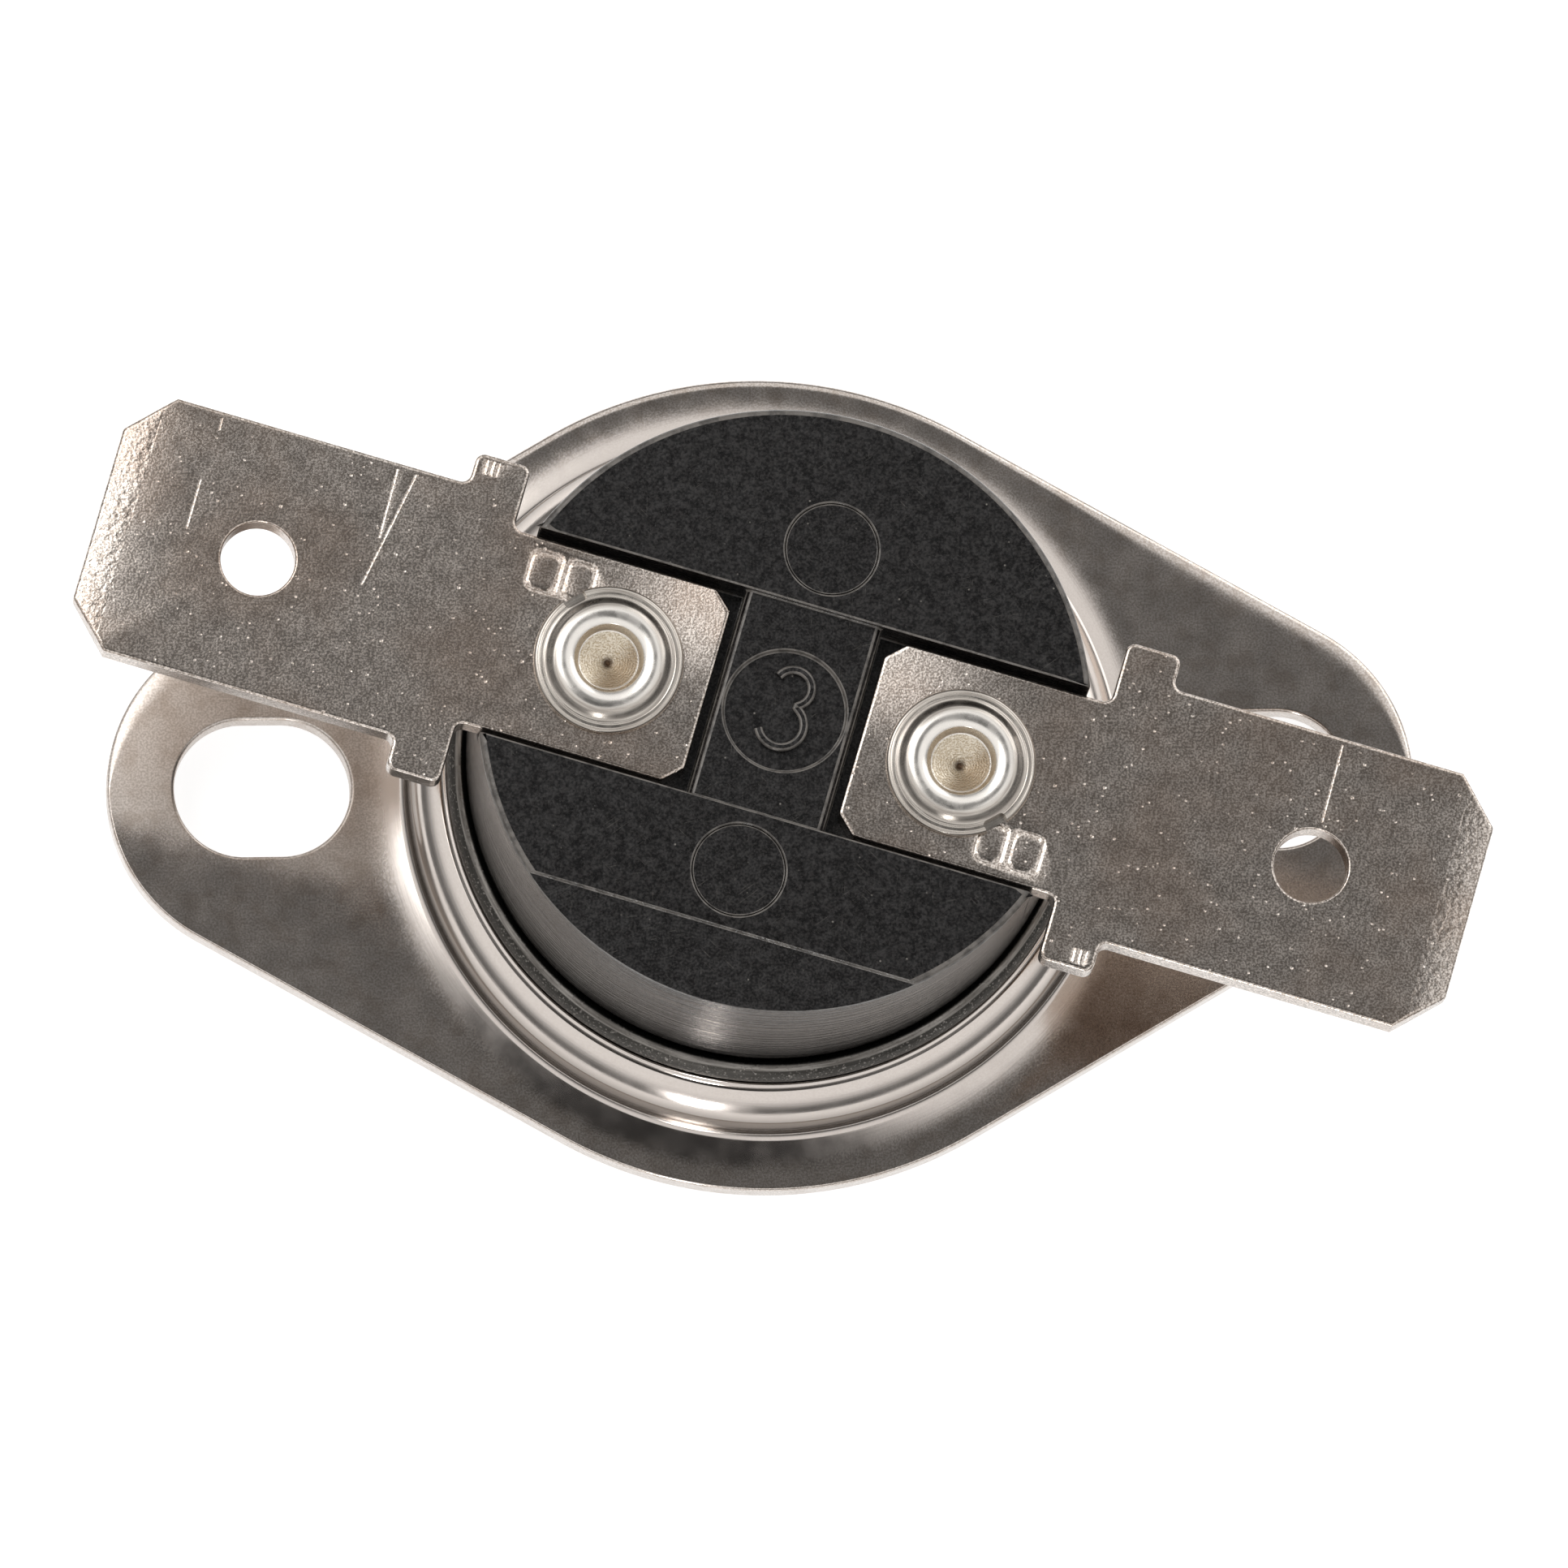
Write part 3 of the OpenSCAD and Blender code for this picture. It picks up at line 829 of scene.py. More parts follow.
@dataclass
class Coat:
    """A material being written: its tree, its shader and a point in millimetres."""

    name: str
    metallic: float
    material: bpy.types.Material = field(init=False)
    tree: Any = field(init=False)
    shader: Any = field(init=False)
    place: Any = field(init=False)

    def __post_init__(self) -> None:
        """Makes an empty material that reads object coordinates."""
        self.material = bpy.data.materials.new(self.name)
        self.material.use_nodes = True
        self.tree = self.material.node_tree
        self.tree.nodes.clear()
        self.shader = add(self.tree, "ShaderNodeBsdfPrincipled", {"Metallic": self.metallic})
        add(self.tree, "ShaderNodeOutputMaterial", {"Surface": self.shader.outputs[0]})
        where = add(self.tree, "ShaderNodeTexCoord")
        self.place = add(self.tree, "ShaderNodeMapping",
                         {"Vector": where.outputs["Object"], "Scale": (1 / MM,) * 3}).outputs[0]

    def clouds(self, size: float, detail: float = 2.0, place: Any = None) -> Reading:
        """Cloudy noise whose patches are about size millimetres across.

        Args:
            size: The patches' size.
            detail: How many finer noises lie over it.
            place: The point to read it at, where it isn't the surface's own.

        Returns:
            The noise, nearly all of it within SPREAD.
        """
        cloud = add(self.tree, "ShaderNodeTexNoise",
                    {"Vector": place or self.place, "Scale": 1 / size, "Detail": detail})
        return Reading(self.tree, cloud.outputs["Fac"])

    def dots(self, gap: float, radius: float) -> Reading:
        """Round spots about gap millimetres apart: 1 at a spot's centre, 0 from its radius on."""
        cell = add(self.tree, "ShaderNodeTexVoronoi", {"Vector": self.place, "Scale": 1 / gap})
        return Reading(self.tree, cell.outputs["Distance"]).ramp((radius / gap, 0.0))

    def streaks(self, turn: float, length: float, width: float, share: float,
                soft: float = 0.3) -> Reading:
        """Thin hair scratches along one direction.

        Args:
            turn: Their direction in the plan, in radians.
            length: About how long they are, in millimetres.
            width: Their width, in millimetres.
            share: How much of the noise counts as a scratch.
            soft: How much of that is its soft edge.

        Returns:
            1 on a scratch and 0 off it.
        """
        x, y, z = self.axes(turn)
        lay = add(self.tree, "ShaderNodeCombineXYZ", {0: x * (width / length), 1: y, 2: z})
        return self.clouds(width, 0.0, lay.outputs[0]).ramp((1 - share, 1 - share * (1 - soft)))

    def layer(self, share: Any, under: Any, over: Any) -> Any:
        """Lays a colour over a share of another, each a hex code or a socket."""
        colours = [linear(c) if isinstance(c, str) else c for c in (under, over)]
        # A Mix node's colour sockets follow those of its other kinds.
        return add(self.tree, "ShaderNodeMix", {0: share, 6: colours[0], 7: colours[1]},
                   data_type="RGBA").outputs[2]

    def relief(self, height: Reading, depth: float, under: Any = None) -> Any:
        """Relief of a surface.

        Args:
            height: Its height, from 0 to 1.
            depth: How many millimetres a height of 1 stands for.
            under: The normal that it is laid over, where there is one.

        Returns:
            The socket of its normal.
        """
        inputs = {"Height": height, "Distance": depth * MM, "Strength": 1.0}
        if under is not None:
            inputs["Normal"] = under
        return add(self.tree, "ShaderNodeBump", inputs).outputs[0]

    def lean(self, share: Reading, slope: float, azimuth: float) -> Any:
        """The normal of a sheet that droops a little.

        Args:
            share: Where it droops, from 0 to 1.
            slope: How steeply it droops there.
            azimuth: The way it droops, in degrees from X.

        Returns:
            The socket of its normal.
        """
        angle = math.radians(azimuth)
        way = add(self.tree, "ShaderNodeVectorTransform",
                  {0: (slope * math.cos(angle), slope * math.sin(angle), 0.0)},
                  vector_type="VECTOR", convert_from="OBJECT", convert_to="WORLD")
        part = add(self.tree, "ShaderNodeVectorMath", {0: way.outputs[0], "Scale": share},
                   operation="SCALE")
        flat = add(self.tree, "ShaderNodeNewGeometry").outputs["Normal"]
        both = add(self.tree, "ShaderNodeVectorMath", {0: flat, 1: part.outputs[0]})
        return add(self.tree, "ShaderNodeVectorMath", {0: both.outputs[0]},
                   operation="NORMALIZE").outputs[0]

    def axes(self, turn: float = 0.0) -> tuple[Reading, ...]:
        """The point's X, Y and Z in millimetres.

        Args:
            turn: How far the axes are turned about Z, in radians.

        Returns:
            The three values.
        """
        source = self.place
        if turn:
            source = add(self.tree, "ShaderNodeVectorRotate",
                         {"Vector": source, "Angle": -turn}, rotation_type="Z_AXIS").outputs[0]
        parts = add(self.tree, "ShaderNodeSeparateXYZ", {0: source}).outputs
        return tuple(Reading(self.tree, part) for part in parts)

    def ring_place(self, squeeze: float) -> Any:
        """A point for patterns that are drawn out round Z.

        Args:
            squeeze: What the way round counts for, so how far a pattern is drawn out.

        Returns:
            The socket of (radius, squeezed way round, height).
        """
        x, y, z = self.axes()
        radius = reach(x, y)
        around = y.step("ARCTAN2", x) * radius * squeeze
        return add(self.tree, "ShaderNodeCombineXYZ", {0: radius, 1: around, 2: z}).outputs[0]

    def dress(self, colour: Any, roughness: Any, normal: Any) -> bpy.types.Material:
        """Links the finished colour, roughness and relief to the shader.

        Args:
            colour: The colour's socket.
            roughness: The roughness.
            normal: The relief's socket.

        Returns:
            The finished material.
        """
        for name, value in (("Base Color", colour), ("Roughness", roughness), ("Normal", normal)):
            feed(self.tree, self.shader.inputs[name], value)
        return self.material


@dataclass(frozen=True)
class SatinNickelSheet:
    """Nickel-plated deep-drawing steel: soft satin gloss, fine grain, slow waves of pressed sheet.

    The bend is smoother than the flats, and the collar's steep wall carries painted shade.
    The far side of the left ear droops a little and is hazy.
    """

    name: str = "satin_nickel_plated_sheet"
    light: str = "#d6cdc6"
    dark: str = "#b9afa6"
    stain: str = "#a08f80"
    # Painted shade: the dark that the collar's steep wall reflects, laid into its colour.
    wall_painted_shade: str = "#6f6963"
    # Where the bend goes over into the flat, and how much of the flat's grain the bend keeps.
    flat_r: Span = (8.9, 9.4)
    bend_share: float = 0.12
    # The painted shade on the steep wall: its soft foot and top, as heights, and how strongly it
    # shows.
    wall_foot: Span = (1.54, 1.82)
    wall_top: Span = (3.02, 2.42)
    wall_shade_share: float = 0.85
    # Fine grain and stained clouds: the size of each, and the noise that draws it.
    grain: float = 0.05
    grain_range: Span = (0.65, 0.35)
    cloud: float = 0.45
    cloud_range: Span = (0.45, 0.7)
    cloud_share: float = 0.32
    # The part of the left ear that droops, which way, and how hazy it is.
    ear_x: Span = (-8.2, -9.6)
    ear_y: Span = (-5.6, -4.0)
    ear_slant: float = 0.25
    ear_slope: float = 0.04
    ear_way: float = 190.0
    ear_haze: float = 0.17
    # The size of the hazy patches, and the roughness that they range over.
    haze: float = 0.8
    roughness: Span = (0.14, 0.19)
    # Relief: waves of the sheet, drawing lines round the bend, pebbles of the grain.
    wave: float = 5.0
    wave_depth: float = 0.02
    line: float = 0.05
    line_squeeze: float = 0.03
    line_depth: float = 0.0009
    pebble_depth: float = 0.0011

    def material(self) -> bpy.types.Material:
        """Writes the material.

        Returns:
            The new material.
        """
        coat = Coat(self.name, 1.0)
        grain = coat.clouds(self.grain)
        x, y, z = coat.axes()
        flat = reach(x, y).ramp(self.flat_r, (self.bend_share, 1.0))
        colour = coat.layer(grain.ramp(self.grain_range) * flat, self.light, self.dark)
        clouds = coat.clouds(self.cloud, 3.0).ramp(self.cloud_range, (0.0, self.cloud_share))
        colour = coat.layer(clouds * flat, colour, self.stain)
        # Painted shade: the collar's steep wall is coloured darker.
        steep = z.ramp(self.wall_foot, (0.0, self.wall_shade_share)) * z.ramp(self.wall_top)
        colour = coat.layer(steep, colour, self.wall_painted_shade)
        ear = x.ramp(self.ear_x) * (y + x * self.ear_slant).ramp(self.ear_y)
        rough = coat.clouds(self.haze, 3.0).ramp(SPREAD, self.roughness) + ear * self.ear_haze
        droop = coat.lean(ear, self.ear_slope, self.ear_way)
        waves = coat.relief(coat.clouds(self.wave, 0.0), self.wave_depth, droop)
        lines = coat.clouds(self.line, 2.0, coat.ring_place(self.line_squeeze)) - MIDDLE
        bend = flat * -1.0 + (1.0 + self.bend_share)
        drawn = coat.relief(lines * bend, self.line_depth, waves)
        pebbled = coat.relief((grain - MIDDLE) * flat, self.pebble_depth, drawn)
        return coat.dress(colour, rough, pebbled)


@dataclass(frozen=True)
class DrawnCapMetal:
    """Drawn and rolled cap metal: greyer than the bracket, its rolled lip dark, dull and pitted.

    A painted highlight runs along the crest; the inner side is painted black, gap shadow and grime.
    """

    name: str = "drawn_cap_metal"
    light: str = "#a8a39d"
    dark: str = "#6d6863"
    lip: str = "#3b3936"
    # Painted shadow of the gap by the mouth, with grime: near black.
    gap_shadow_and_grime: str = "#080807"
    # Drawing lines round the cup, and the small bright specks and spots worn into its dull lip.
    line: float = 0.07
    line_squeeze: float = 0.06
    line_depth: float = 0.006
    speck_gap: float = 0.13
    speck_r: float = 0.05
    speck_patch: float = 0.4
    patch_range: Span = (0.4, 0.6)
    patch_share: Span = (0.3, 1.0)
    spot: float = 0.06
    spot_range: Span = (0.54, 0.7)
    bare_and_highlight_share: float = 0.8
    spot_depth: float = 0.008
    # The lip's soft start as a height, and as radii the mouth and the crest, painted shadow and
    # highlight.
    lip_z: Span = (3.1, 3.5)
    lip_matt: Span = (0.95, 0.25)
    lip_rough: float = 0.1
    mouth_r: Span = (7.34, 7.26)
    crest_in: Span = (7.28, 7.32)
    crest_out: Span = (7.46, 7.42)
    haze: float = 0.3
    roughness: Span = (0.24, 0.4)

    def material(self) -> bpy.types.Material:
        """Writes the material.

        Returns:
            The new material.
        """
        coat = Coat(self.name, 1.0)
        lines = coat.clouds(self.line, 3.0, coat.ring_place(self.line_squeeze))
        patches = coat.clouds(self.speck_patch).ramp(self.patch_range, self.patch_share)
        blots = coat.clouds(self.spot, 3.0).ramp(self.spot_range, (0.0, self.bare_and_highlight_share))
        spots = (coat.dots(self.speck_gap, self.speck_r) * patches).most(blots)
        colour = coat.layer(lines.ramp(SPREAD), self.dark, self.light)
        x, y, z = coat.axes()
        radius = reach(x, y)
        rolled = z.ramp(self.lip_z)
        # A painted highlight: a lighter ring along the lip's crest, where less of the dark lip
        # colour lies.
        crest = radius.ramp(self.crest_in, (0.0, self.bare_and_highlight_share)) * radius.ramp(self.crest_out)
        matt = rolled * spots.most(crest).ramp((0.0, 1.0), self.lip_matt)
        colour = coat.layer(matt, colour, self.lip)
        # Painted shadow: the lip's inner side by the mouth turns black, as the gap's shade with
        # grime.
        colour = coat.layer(rolled * radius.ramp(self.mouth_r), colour, self.gap_shadow_and_grime)
        rough = coat.clouds(self.haze, 3.0).ramp(SPREAD, self.roughness) + rolled * self.lip_rough
        relief = coat.relief(spots, self.spot_depth, coat.relief(lines, self.line_depth))
        return coat.dress(colour, rough, relief)


@dataclass(frozen=True)
class PlatedBlade:
    """Nickel-plated brass strip: brownish grey, with the fine pebbled grain of rolled strip.

    Its coined tip is brighter and coarser, its inner end droops a little, and small pits glint.
    """

    name: str = "plated_brass_blade"
    light: str = "#ded4cb"
    dark: str = "#988e85"
    tint: str = "#b09886"
    # Fine grain, coarser brushed grain along the blade, and brownish clouds.
    grain: float = 0.05
    grain_depth: float = 0.0028
    brushed: float = 0.3
    coarse: float = 0.1
    coarse_share: float = 0.25
    coarse_depth: float = 0.0012
    grain_range: Span = (0.4, 0.6)
    cloud: float = 2.6
    cloud_range: Span = (0.4, 0.7)
    cloud_share: float = 0.35
    haze: float = 0.5
    roughness: Span = (0.21, 0.25)
    # The coined tip's soft start along the line, and the part of the inner end that droops.
    tip_at: Span = (15.94, 15.98)
    coined: float = 0.16
    coined_depth: float = 0.016
    inner_x: Span = (6.5, 2.2)
    inner_y: Span = (-1.0, 1.4)
    inner_slope: float = 0.14
    inner_way: float = 190.0
    # Fine glinting pits in patches, and a few larger ones.
    glint_gap: float = 0.2
    glint_r: float = 0.035
    glint_patch: float = 0.3
    glint_range: Span = (0.45, 0.6)
    pit_gap: float = 0.6
    pit_r: float = 0.05
    pit_depth: float = 0.012

    def material(self) -> bpy.types.Material:
        """Writes the material.

        Returns:
            The new material.
        """
        coat = Coat(self.name, 1.0)
        x, y, z = coat.axes(LINE_TURN)
        along = abs(x)
        lay = add(coat.tree, "ShaderNodeCombineXYZ", {0: x, 1: y * self.brushed, 2: z})
        grain = coat.clouds(self.grain)
        coarse = coat.clouds(self.coarse, 2.0, lay.outputs[0])
        both = grain * (1 - self.coarse_share) + coarse * self.coarse_share
        colour = coat.layer(both.ramp(self.grain_range), self.dark, self.light)
        clouds = coat.clouds(self.cloud).ramp(self.cloud_range, (0.0, self.cloud_share))
        colour = coat.layer(clouds, colour, self.tint)
        glints = coat.clouds(self.glint_patch).ramp(self.glint_range)
        small = coat.dots(self.glint_gap, self.glint_r) * glints
        pits = small.most(coat.dots(self.pit_gap, self.pit_r))
        rough = coat.clouds(self.haze, 3.0).ramp(SPREAD, self.roughness)
        coined = (coat.clouds(self.coined, 3.0) - MIDDLE) * along.ramp(self.tip_at)
        inner = along.ramp(self.inner_x) * y.ramp(self.inner_y)
        droop = coat.lean(inner, self.inner_slope, self.inner_way)
        relief = coat.relief(coined, self.coined_depth, droop)
        relief = coat.relief(pits, -self.pit_depth, relief)
        relief = coat.relief(coarse, self.coarse_depth, relief)
        return coat.dress(colour, rough, coat.relief(grain, self.grain_depth, relief))


@dataclass(frozen=True)
class BurnishedRivet:
    """Plated steel burnished by the rolling tool: bright crest, fine rings, pitted beige cone.

    The cone keeps the drill's spiral, is dark at its point and has painted shade on its lower
    right.
    The crest's near-white colour is a painted highlight.
    """

    name: str = "burnished_plated_rivet"
    light: str = "#c6bfb6"
    dark: str = "#a39b93"
    cone: str = "#e6dccb"
    pit: str = "#c2b299"
    shade: str = "#8f7c65"
    tip: str = "#4a3626"
    # A painted highlight on the crest, lighter than the burnished metal.
    crest: str = "#f2ede6"
    # The rivets' distance from the middle, and each zone's soft limits from the rivet's axis.
    centre: float = 4.30
    cone_r: Span = (0.71, 0.66)
    cone_rough: float = 0.1
    crest_r: Span = (1.28, 1.13)
    crest_share: float = 0.9
    tip_r: Span = (0.2, 0.04)
    tip_share: float = 0.95
    shade_range: Span = (-0.2, 0.5)
    shade_share: float = 0.8
    # Burnished rings, pits in the cone, and the drill's spiral.
    line: float = 0.05
    line_squeeze: Span = (0.08, 0.3)
    line_depth: float = 0.0008
    pit_size: float = 0.04
    pit_range: Span = (0.6, 0.35)
    pit_depth: float = 0.005
    drill_feed: float = 0.06
    drill_depth: float = 0.004
    haze: float = 0.3
    roughness: Span = (0.22, 0.31)

    def material(self) -> bpy.types.Material:
        """Writes the material.

        Returns:
            The new material.
        """
        coat = Coat(self.name, 1.0)
        x, y, z = coat.axes(LINE_TURN)
        side = abs(x) - self.centre
        radius = reach(side, y)
        angle = y.step("ARCTAN2", side)
        around, height = self.line_squeeze
        lay = add(coat.tree, "ShaderNodeCombineXYZ", {0: radius, 1: angle * around, 2: z * height})
        lines = coat.clouds(self.line, 3.0, lay.outputs[0])
        cone = radius.ramp(self.cone_r)
        colour = coat.layer(lines.ramp(SPREAD), self.dark, self.light)
        # Painted highlight: the crest is coloured near white.
        colour = coat.layer(radius.ramp(self.crest_r, (0.0, self.crest_share)), colour, self.crest)
        pits = coat.clouds(self.pit_size, 3.0).ramp(self.pit_range)
        drilled = coat.layer(pits, self.cone, self.pit)
        plan_x, plan_y, _ = coat.axes()
        middle = self.centre * (math.cos(LINE_TURN) - math.sin(LINE_TURN))
        lower_right = plan_x - plan_y - x.step("SIGN") * middle
        # Painted shade: the cone's lower right side is darkened.
        shaded = lower_right.ramp(self.shade_range, (0.0, self.shade_share))
        drilled = coat.layer(shaded, drilled, self.shade)
        drilled = coat.layer(radius.ramp(self.tip_r, (0.0, self.tip_share)), drilled, self.tip)
        colour = coat.layer(cone, colour, drilled)
        rough = coat.clouds(self.haze, 3.0).ramp(SPREAD, self.roughness) + cone * self.cone_rough
        turns = radius * (1 / self.drill_feed) + angle * (0.5 / math.pi)
        relief = coat.relief(turns.step("PINGPONG", 0.5) * cone, self.drill_depth)
        relief = coat.relief(pits * cone, -self.pit_depth, relief)
        return coat.dress(colour, rough, coat.relief(lines, self.line_depth, relief))


@dataclass(frozen=True)
class Phenolic:
    """Pressed phenolic: matt black resin with wood-flour flecks, pale rubbed rims, dust and hairs.

    Its sides, drawn out of a polished cavity, keep fine lines round the axis and more gloss.
    Low down they reflect next to nothing.
    """

    name: str = "pressed_black_phenolic"
    body: str = "#040303"
    fleck: str = "#201d1c"
    rubbed: str = "#69645f"
    dust: str = "#8a857e"
    # Flecks of wood flour, and rubbed patches on the rims.
    flour: float = 0.2
    fine: float = 0.06
    fine_share: float = 0.8
    fine_depth: float = 0.006
    fleck_range: Span = (0.38, 0.66)
    rub: float = 0.3
    rub_range: Span = (0.35, 0.6)
    rub_share: Span = (0.45, 1.0)
    # Hairs as (direction in radians, length, size of the patches they lie in), and dust.
    hairs: tuple[tuple[float, float, float], ...] = (
        (0.6, 0.9, 0.8), (-0.8, 0.6, 1.1), (1.5, 0.4, 0.6), (0.2, 0.5, 1.4))
    hair_w: float = 0.025
    hair_share: float = 0.25
    hair_range: Span = (0.58, 0.68)
    hair_light: float = 0.15
    speck_gap: float = 0.42
    speck_r: float = 0.035
    speck_patch: float = 0.9
    speck_range: Span = (0.45, 0.6)
    speck_light: float = 0.9
    # The sides, by how far their normals point up, and the polishing lines on them.
    side_range: Span = (0.95, 0.5)
    line: float = 0.16
    line_squeeze: float = 0.03
    line_range: Span = (0.35, 0.65)
    line_depth: float = 0.005
    roughness: Span = (0.26, 0.36)
    side_gloss: float = 0.26
    line_matt: float = 0.12
    # How much the surface reflects: by height, by fleck and by polishing line.
    sheen_z: Span = (4.5, 5.8)
    sheen: Span = (0.05, 0.4)
    fleck_sheen_range: Span = (0.36, 0.66)
    fleck_sheen: Span = (0.65, 1.15)
    line_sheen: Span = (1.25, 0.55)

    def litter(self, coat: Coat) -> Reading:
        """Hair scratches and specks of dust.

        Args:
            coat: The material being written.

        Returns:
            How much of the surface they cover, from 0 to 1.
        """
        patches = coat.clouds(self.speck_patch, 1.0).ramp(self.speck_range, (0.0, self.speck_light))
        litter = coat.dots(self.speck_gap, self.speck_r) * patches
        for turn, length, patch in self.hairs:
            here = coat.clouds(patch, 0.0).ramp(self.hair_range, (0.0, self.hair_light))
            litter = litter.most(coat.streaks(turn, length, self.hair_w, self.hair_share) * here)
        return litter

    def side_lines(self, coat: Coat) -> tuple[Reading, Reading]:
        """The body's sides, and the polishing lines on them.

        Args:
            coat: The material being written.

        Returns:
            1 on the sides and 0 on the faces, and the same for the lines.
        """
        upright = add(coat.tree, "ShaderNodeNewGeometry").outputs["True Normal"]
        parts = add(coat.tree, "ShaderNodeSeparateXYZ", {0: upright}).outputs
        side = abs(Reading(coat.tree, parts[2])).ramp(self.side_range)
        # Drawn coarser than the real polishing lines, which the photographed angle would hide.
        lines = coat.clouds(self.line, 3.0, coat.ring_place(self.line_squeeze))
        return side, lines.ramp(self.line_range) * side

    def material(self) -> bpy.types.Material:
        """Writes the material.

        Returns:
            The new material.
        """
        coat = Coat(self.name, 0.0)
        flour = coat.clouds(self.flour, 3.0)
        fine = coat.clouds(self.fine, 3.0)
        both = flour * (1 - self.fine_share) + fine * self.fine_share
        colour = coat.layer(both.ramp(self.fleck_range), self.body, self.fleck)
        worn_part = add(coat.tree, "ShaderNodeAttribute", attribute_name="wear").outputs["Fac"]
        patches = coat.clouds(self.rub, 3.0).ramp(self.rub_range, self.rub_share)
        colour = coat.layer(patches * worn_part, colour, self.rubbed)
        colour = coat.layer(self.litter(coat), colour, self.dust)
        side, lines = self.side_lines(coat)
        rough = flour.ramp(SPREAD, self.roughness) - side * self.side_gloss + lines * self.line_matt
        sheen = coat.axes()[2].ramp(self.sheen_z, self.sheen)
        sheen = sheen * both.ramp(self.fleck_sheen_range, self.fleck_sheen)
        off, on = self.line_sheen
        sheen = sheen * (lines * (on - off) + off)
        feed(coat.tree, coat.shader.inputs["Specular IOR Level"], sheen)
        relief = coat.relief(fine, self.fine_depth, coat.relief(lines, self.line_depth))
        return coat.dress(colour, rough, relief)


@dataclass(frozen=True)
class PlainMetal:
    """Bare metal of an inner piece: its own colour, brushed grain and a slight tarnish."""

    name: str
    light: str
    dark: str
    grain: float = 0.08
    grain_depth: float = 0.003
    tarnish: float = 1.1
    roughness: Span = (0.25, 0.4)

    def material(self) -> bpy.types.Material:
        """Writes the material.

        Returns:
            The new material.
        """
        coat = Coat(self.name, 1.0)
        tarnish = coat.clouds(self.tarnish, 3.0)
        colour = coat.layer(tarnish.ramp(SPREAD), self.light, self.dark)
        relief = coat.relief(coat.clouds(self.grain, 3.0), self.grain_depth)
        return coat.dress(colour, tarnish.ramp(SPREAD, self.roughness), relief)


@dataclass(frozen=True)
class PlainMoulding:
    """A pressed or fired inner piece: dull, slightly mottled, with fine grit in its skin."""

    name: str
    light: str
    dark: str
    grit: float = 0.12
    grit_depth: float = 0.004
    roughness: Span = (0.4, 0.6)

    def material(self) -> bpy.types.Material:
        """Writes the material.

        Returns:
            The new material.
        """
        coat = Coat(self.name, 0.0)
        grit = coat.clouds(self.grit, 4.0)
        colour = coat.layer(grit.ramp(SPREAD), self.light, self.dark)
        relief = coat.relief(grit, self.grit_depth)
        return coat.dress(colour, grit.ramp(SPREAD, self.roughness), relief)


# The pieces


@dataclass
class SensingCap:
    """The drawn metal cup that holds everything, its rim rolled in over the body."""

    # Heights end in top, line or z; the other sizes are radii.
    floor_top: float = 0.5
    wall_in: float = 7.17
    wall_out: float = 7.50
    foot_out: float = 7.75
    foot_round: float = 0.35
    foot_line: float = 2.05
    face_round: float = 0.5
    curl_at: Point = (7.20, 3.617)
    curl_in: float = 0.09
    curl_out: float = 0.42
    curl_end: float = 120.0
    corner: float = 0.12

    def section(self) -> Loop:
        """The cup's section from its inner floor round the curl to the face's centre.

        Returns:
            (radius, height) points, clockwise.
        """
        x, z = self.curl_at
        low_in = -math.degrees(math.acos((self.wall_in - x) / self.curl_in))
        low_out = -math.degrees(math.acos((self.wall_out - x) / self.curl_out))
        foot_x = self.foot_out - self.foot_round
        top = math.degrees(math.acos((self.wall_out - foot_x) / self.foot_round))
        corner = self.wall_in - self.corner, self.floor_top + self.corner
        return [
            (0, self.floor_top),
            *arc(corner, self.corner, -90, 0, 6),
            *arc(self.curl_at, self.curl_in, low_in, self.curl_end, 12),
            *arc(self.curl_at, self.curl_out, self.curl_end, low_out, 40),
            *arc((foot_x, self.foot_line), self.foot_round, top, 0, 12),
            *arc((self.foot_out - self.face_round, self.face_round), self.face_round, 0, -90, 14),
            (0, 0),
        ]

    def build(self, shop: Workshop, finish: bpy.types.Material) -> bpy.types.Object:
        """Spins the cup and puts it in place of its frame node.

        Args:
            shop: The trees that shape pieces.
            finish: The piece's material.

        Returns:
            The finished piece.
        """
        cap = settle(shade(shop.spin("sensing_cap_shell", self.section())), finish)
        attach(cap, "body")
        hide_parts("sensing_cap")
        return cap


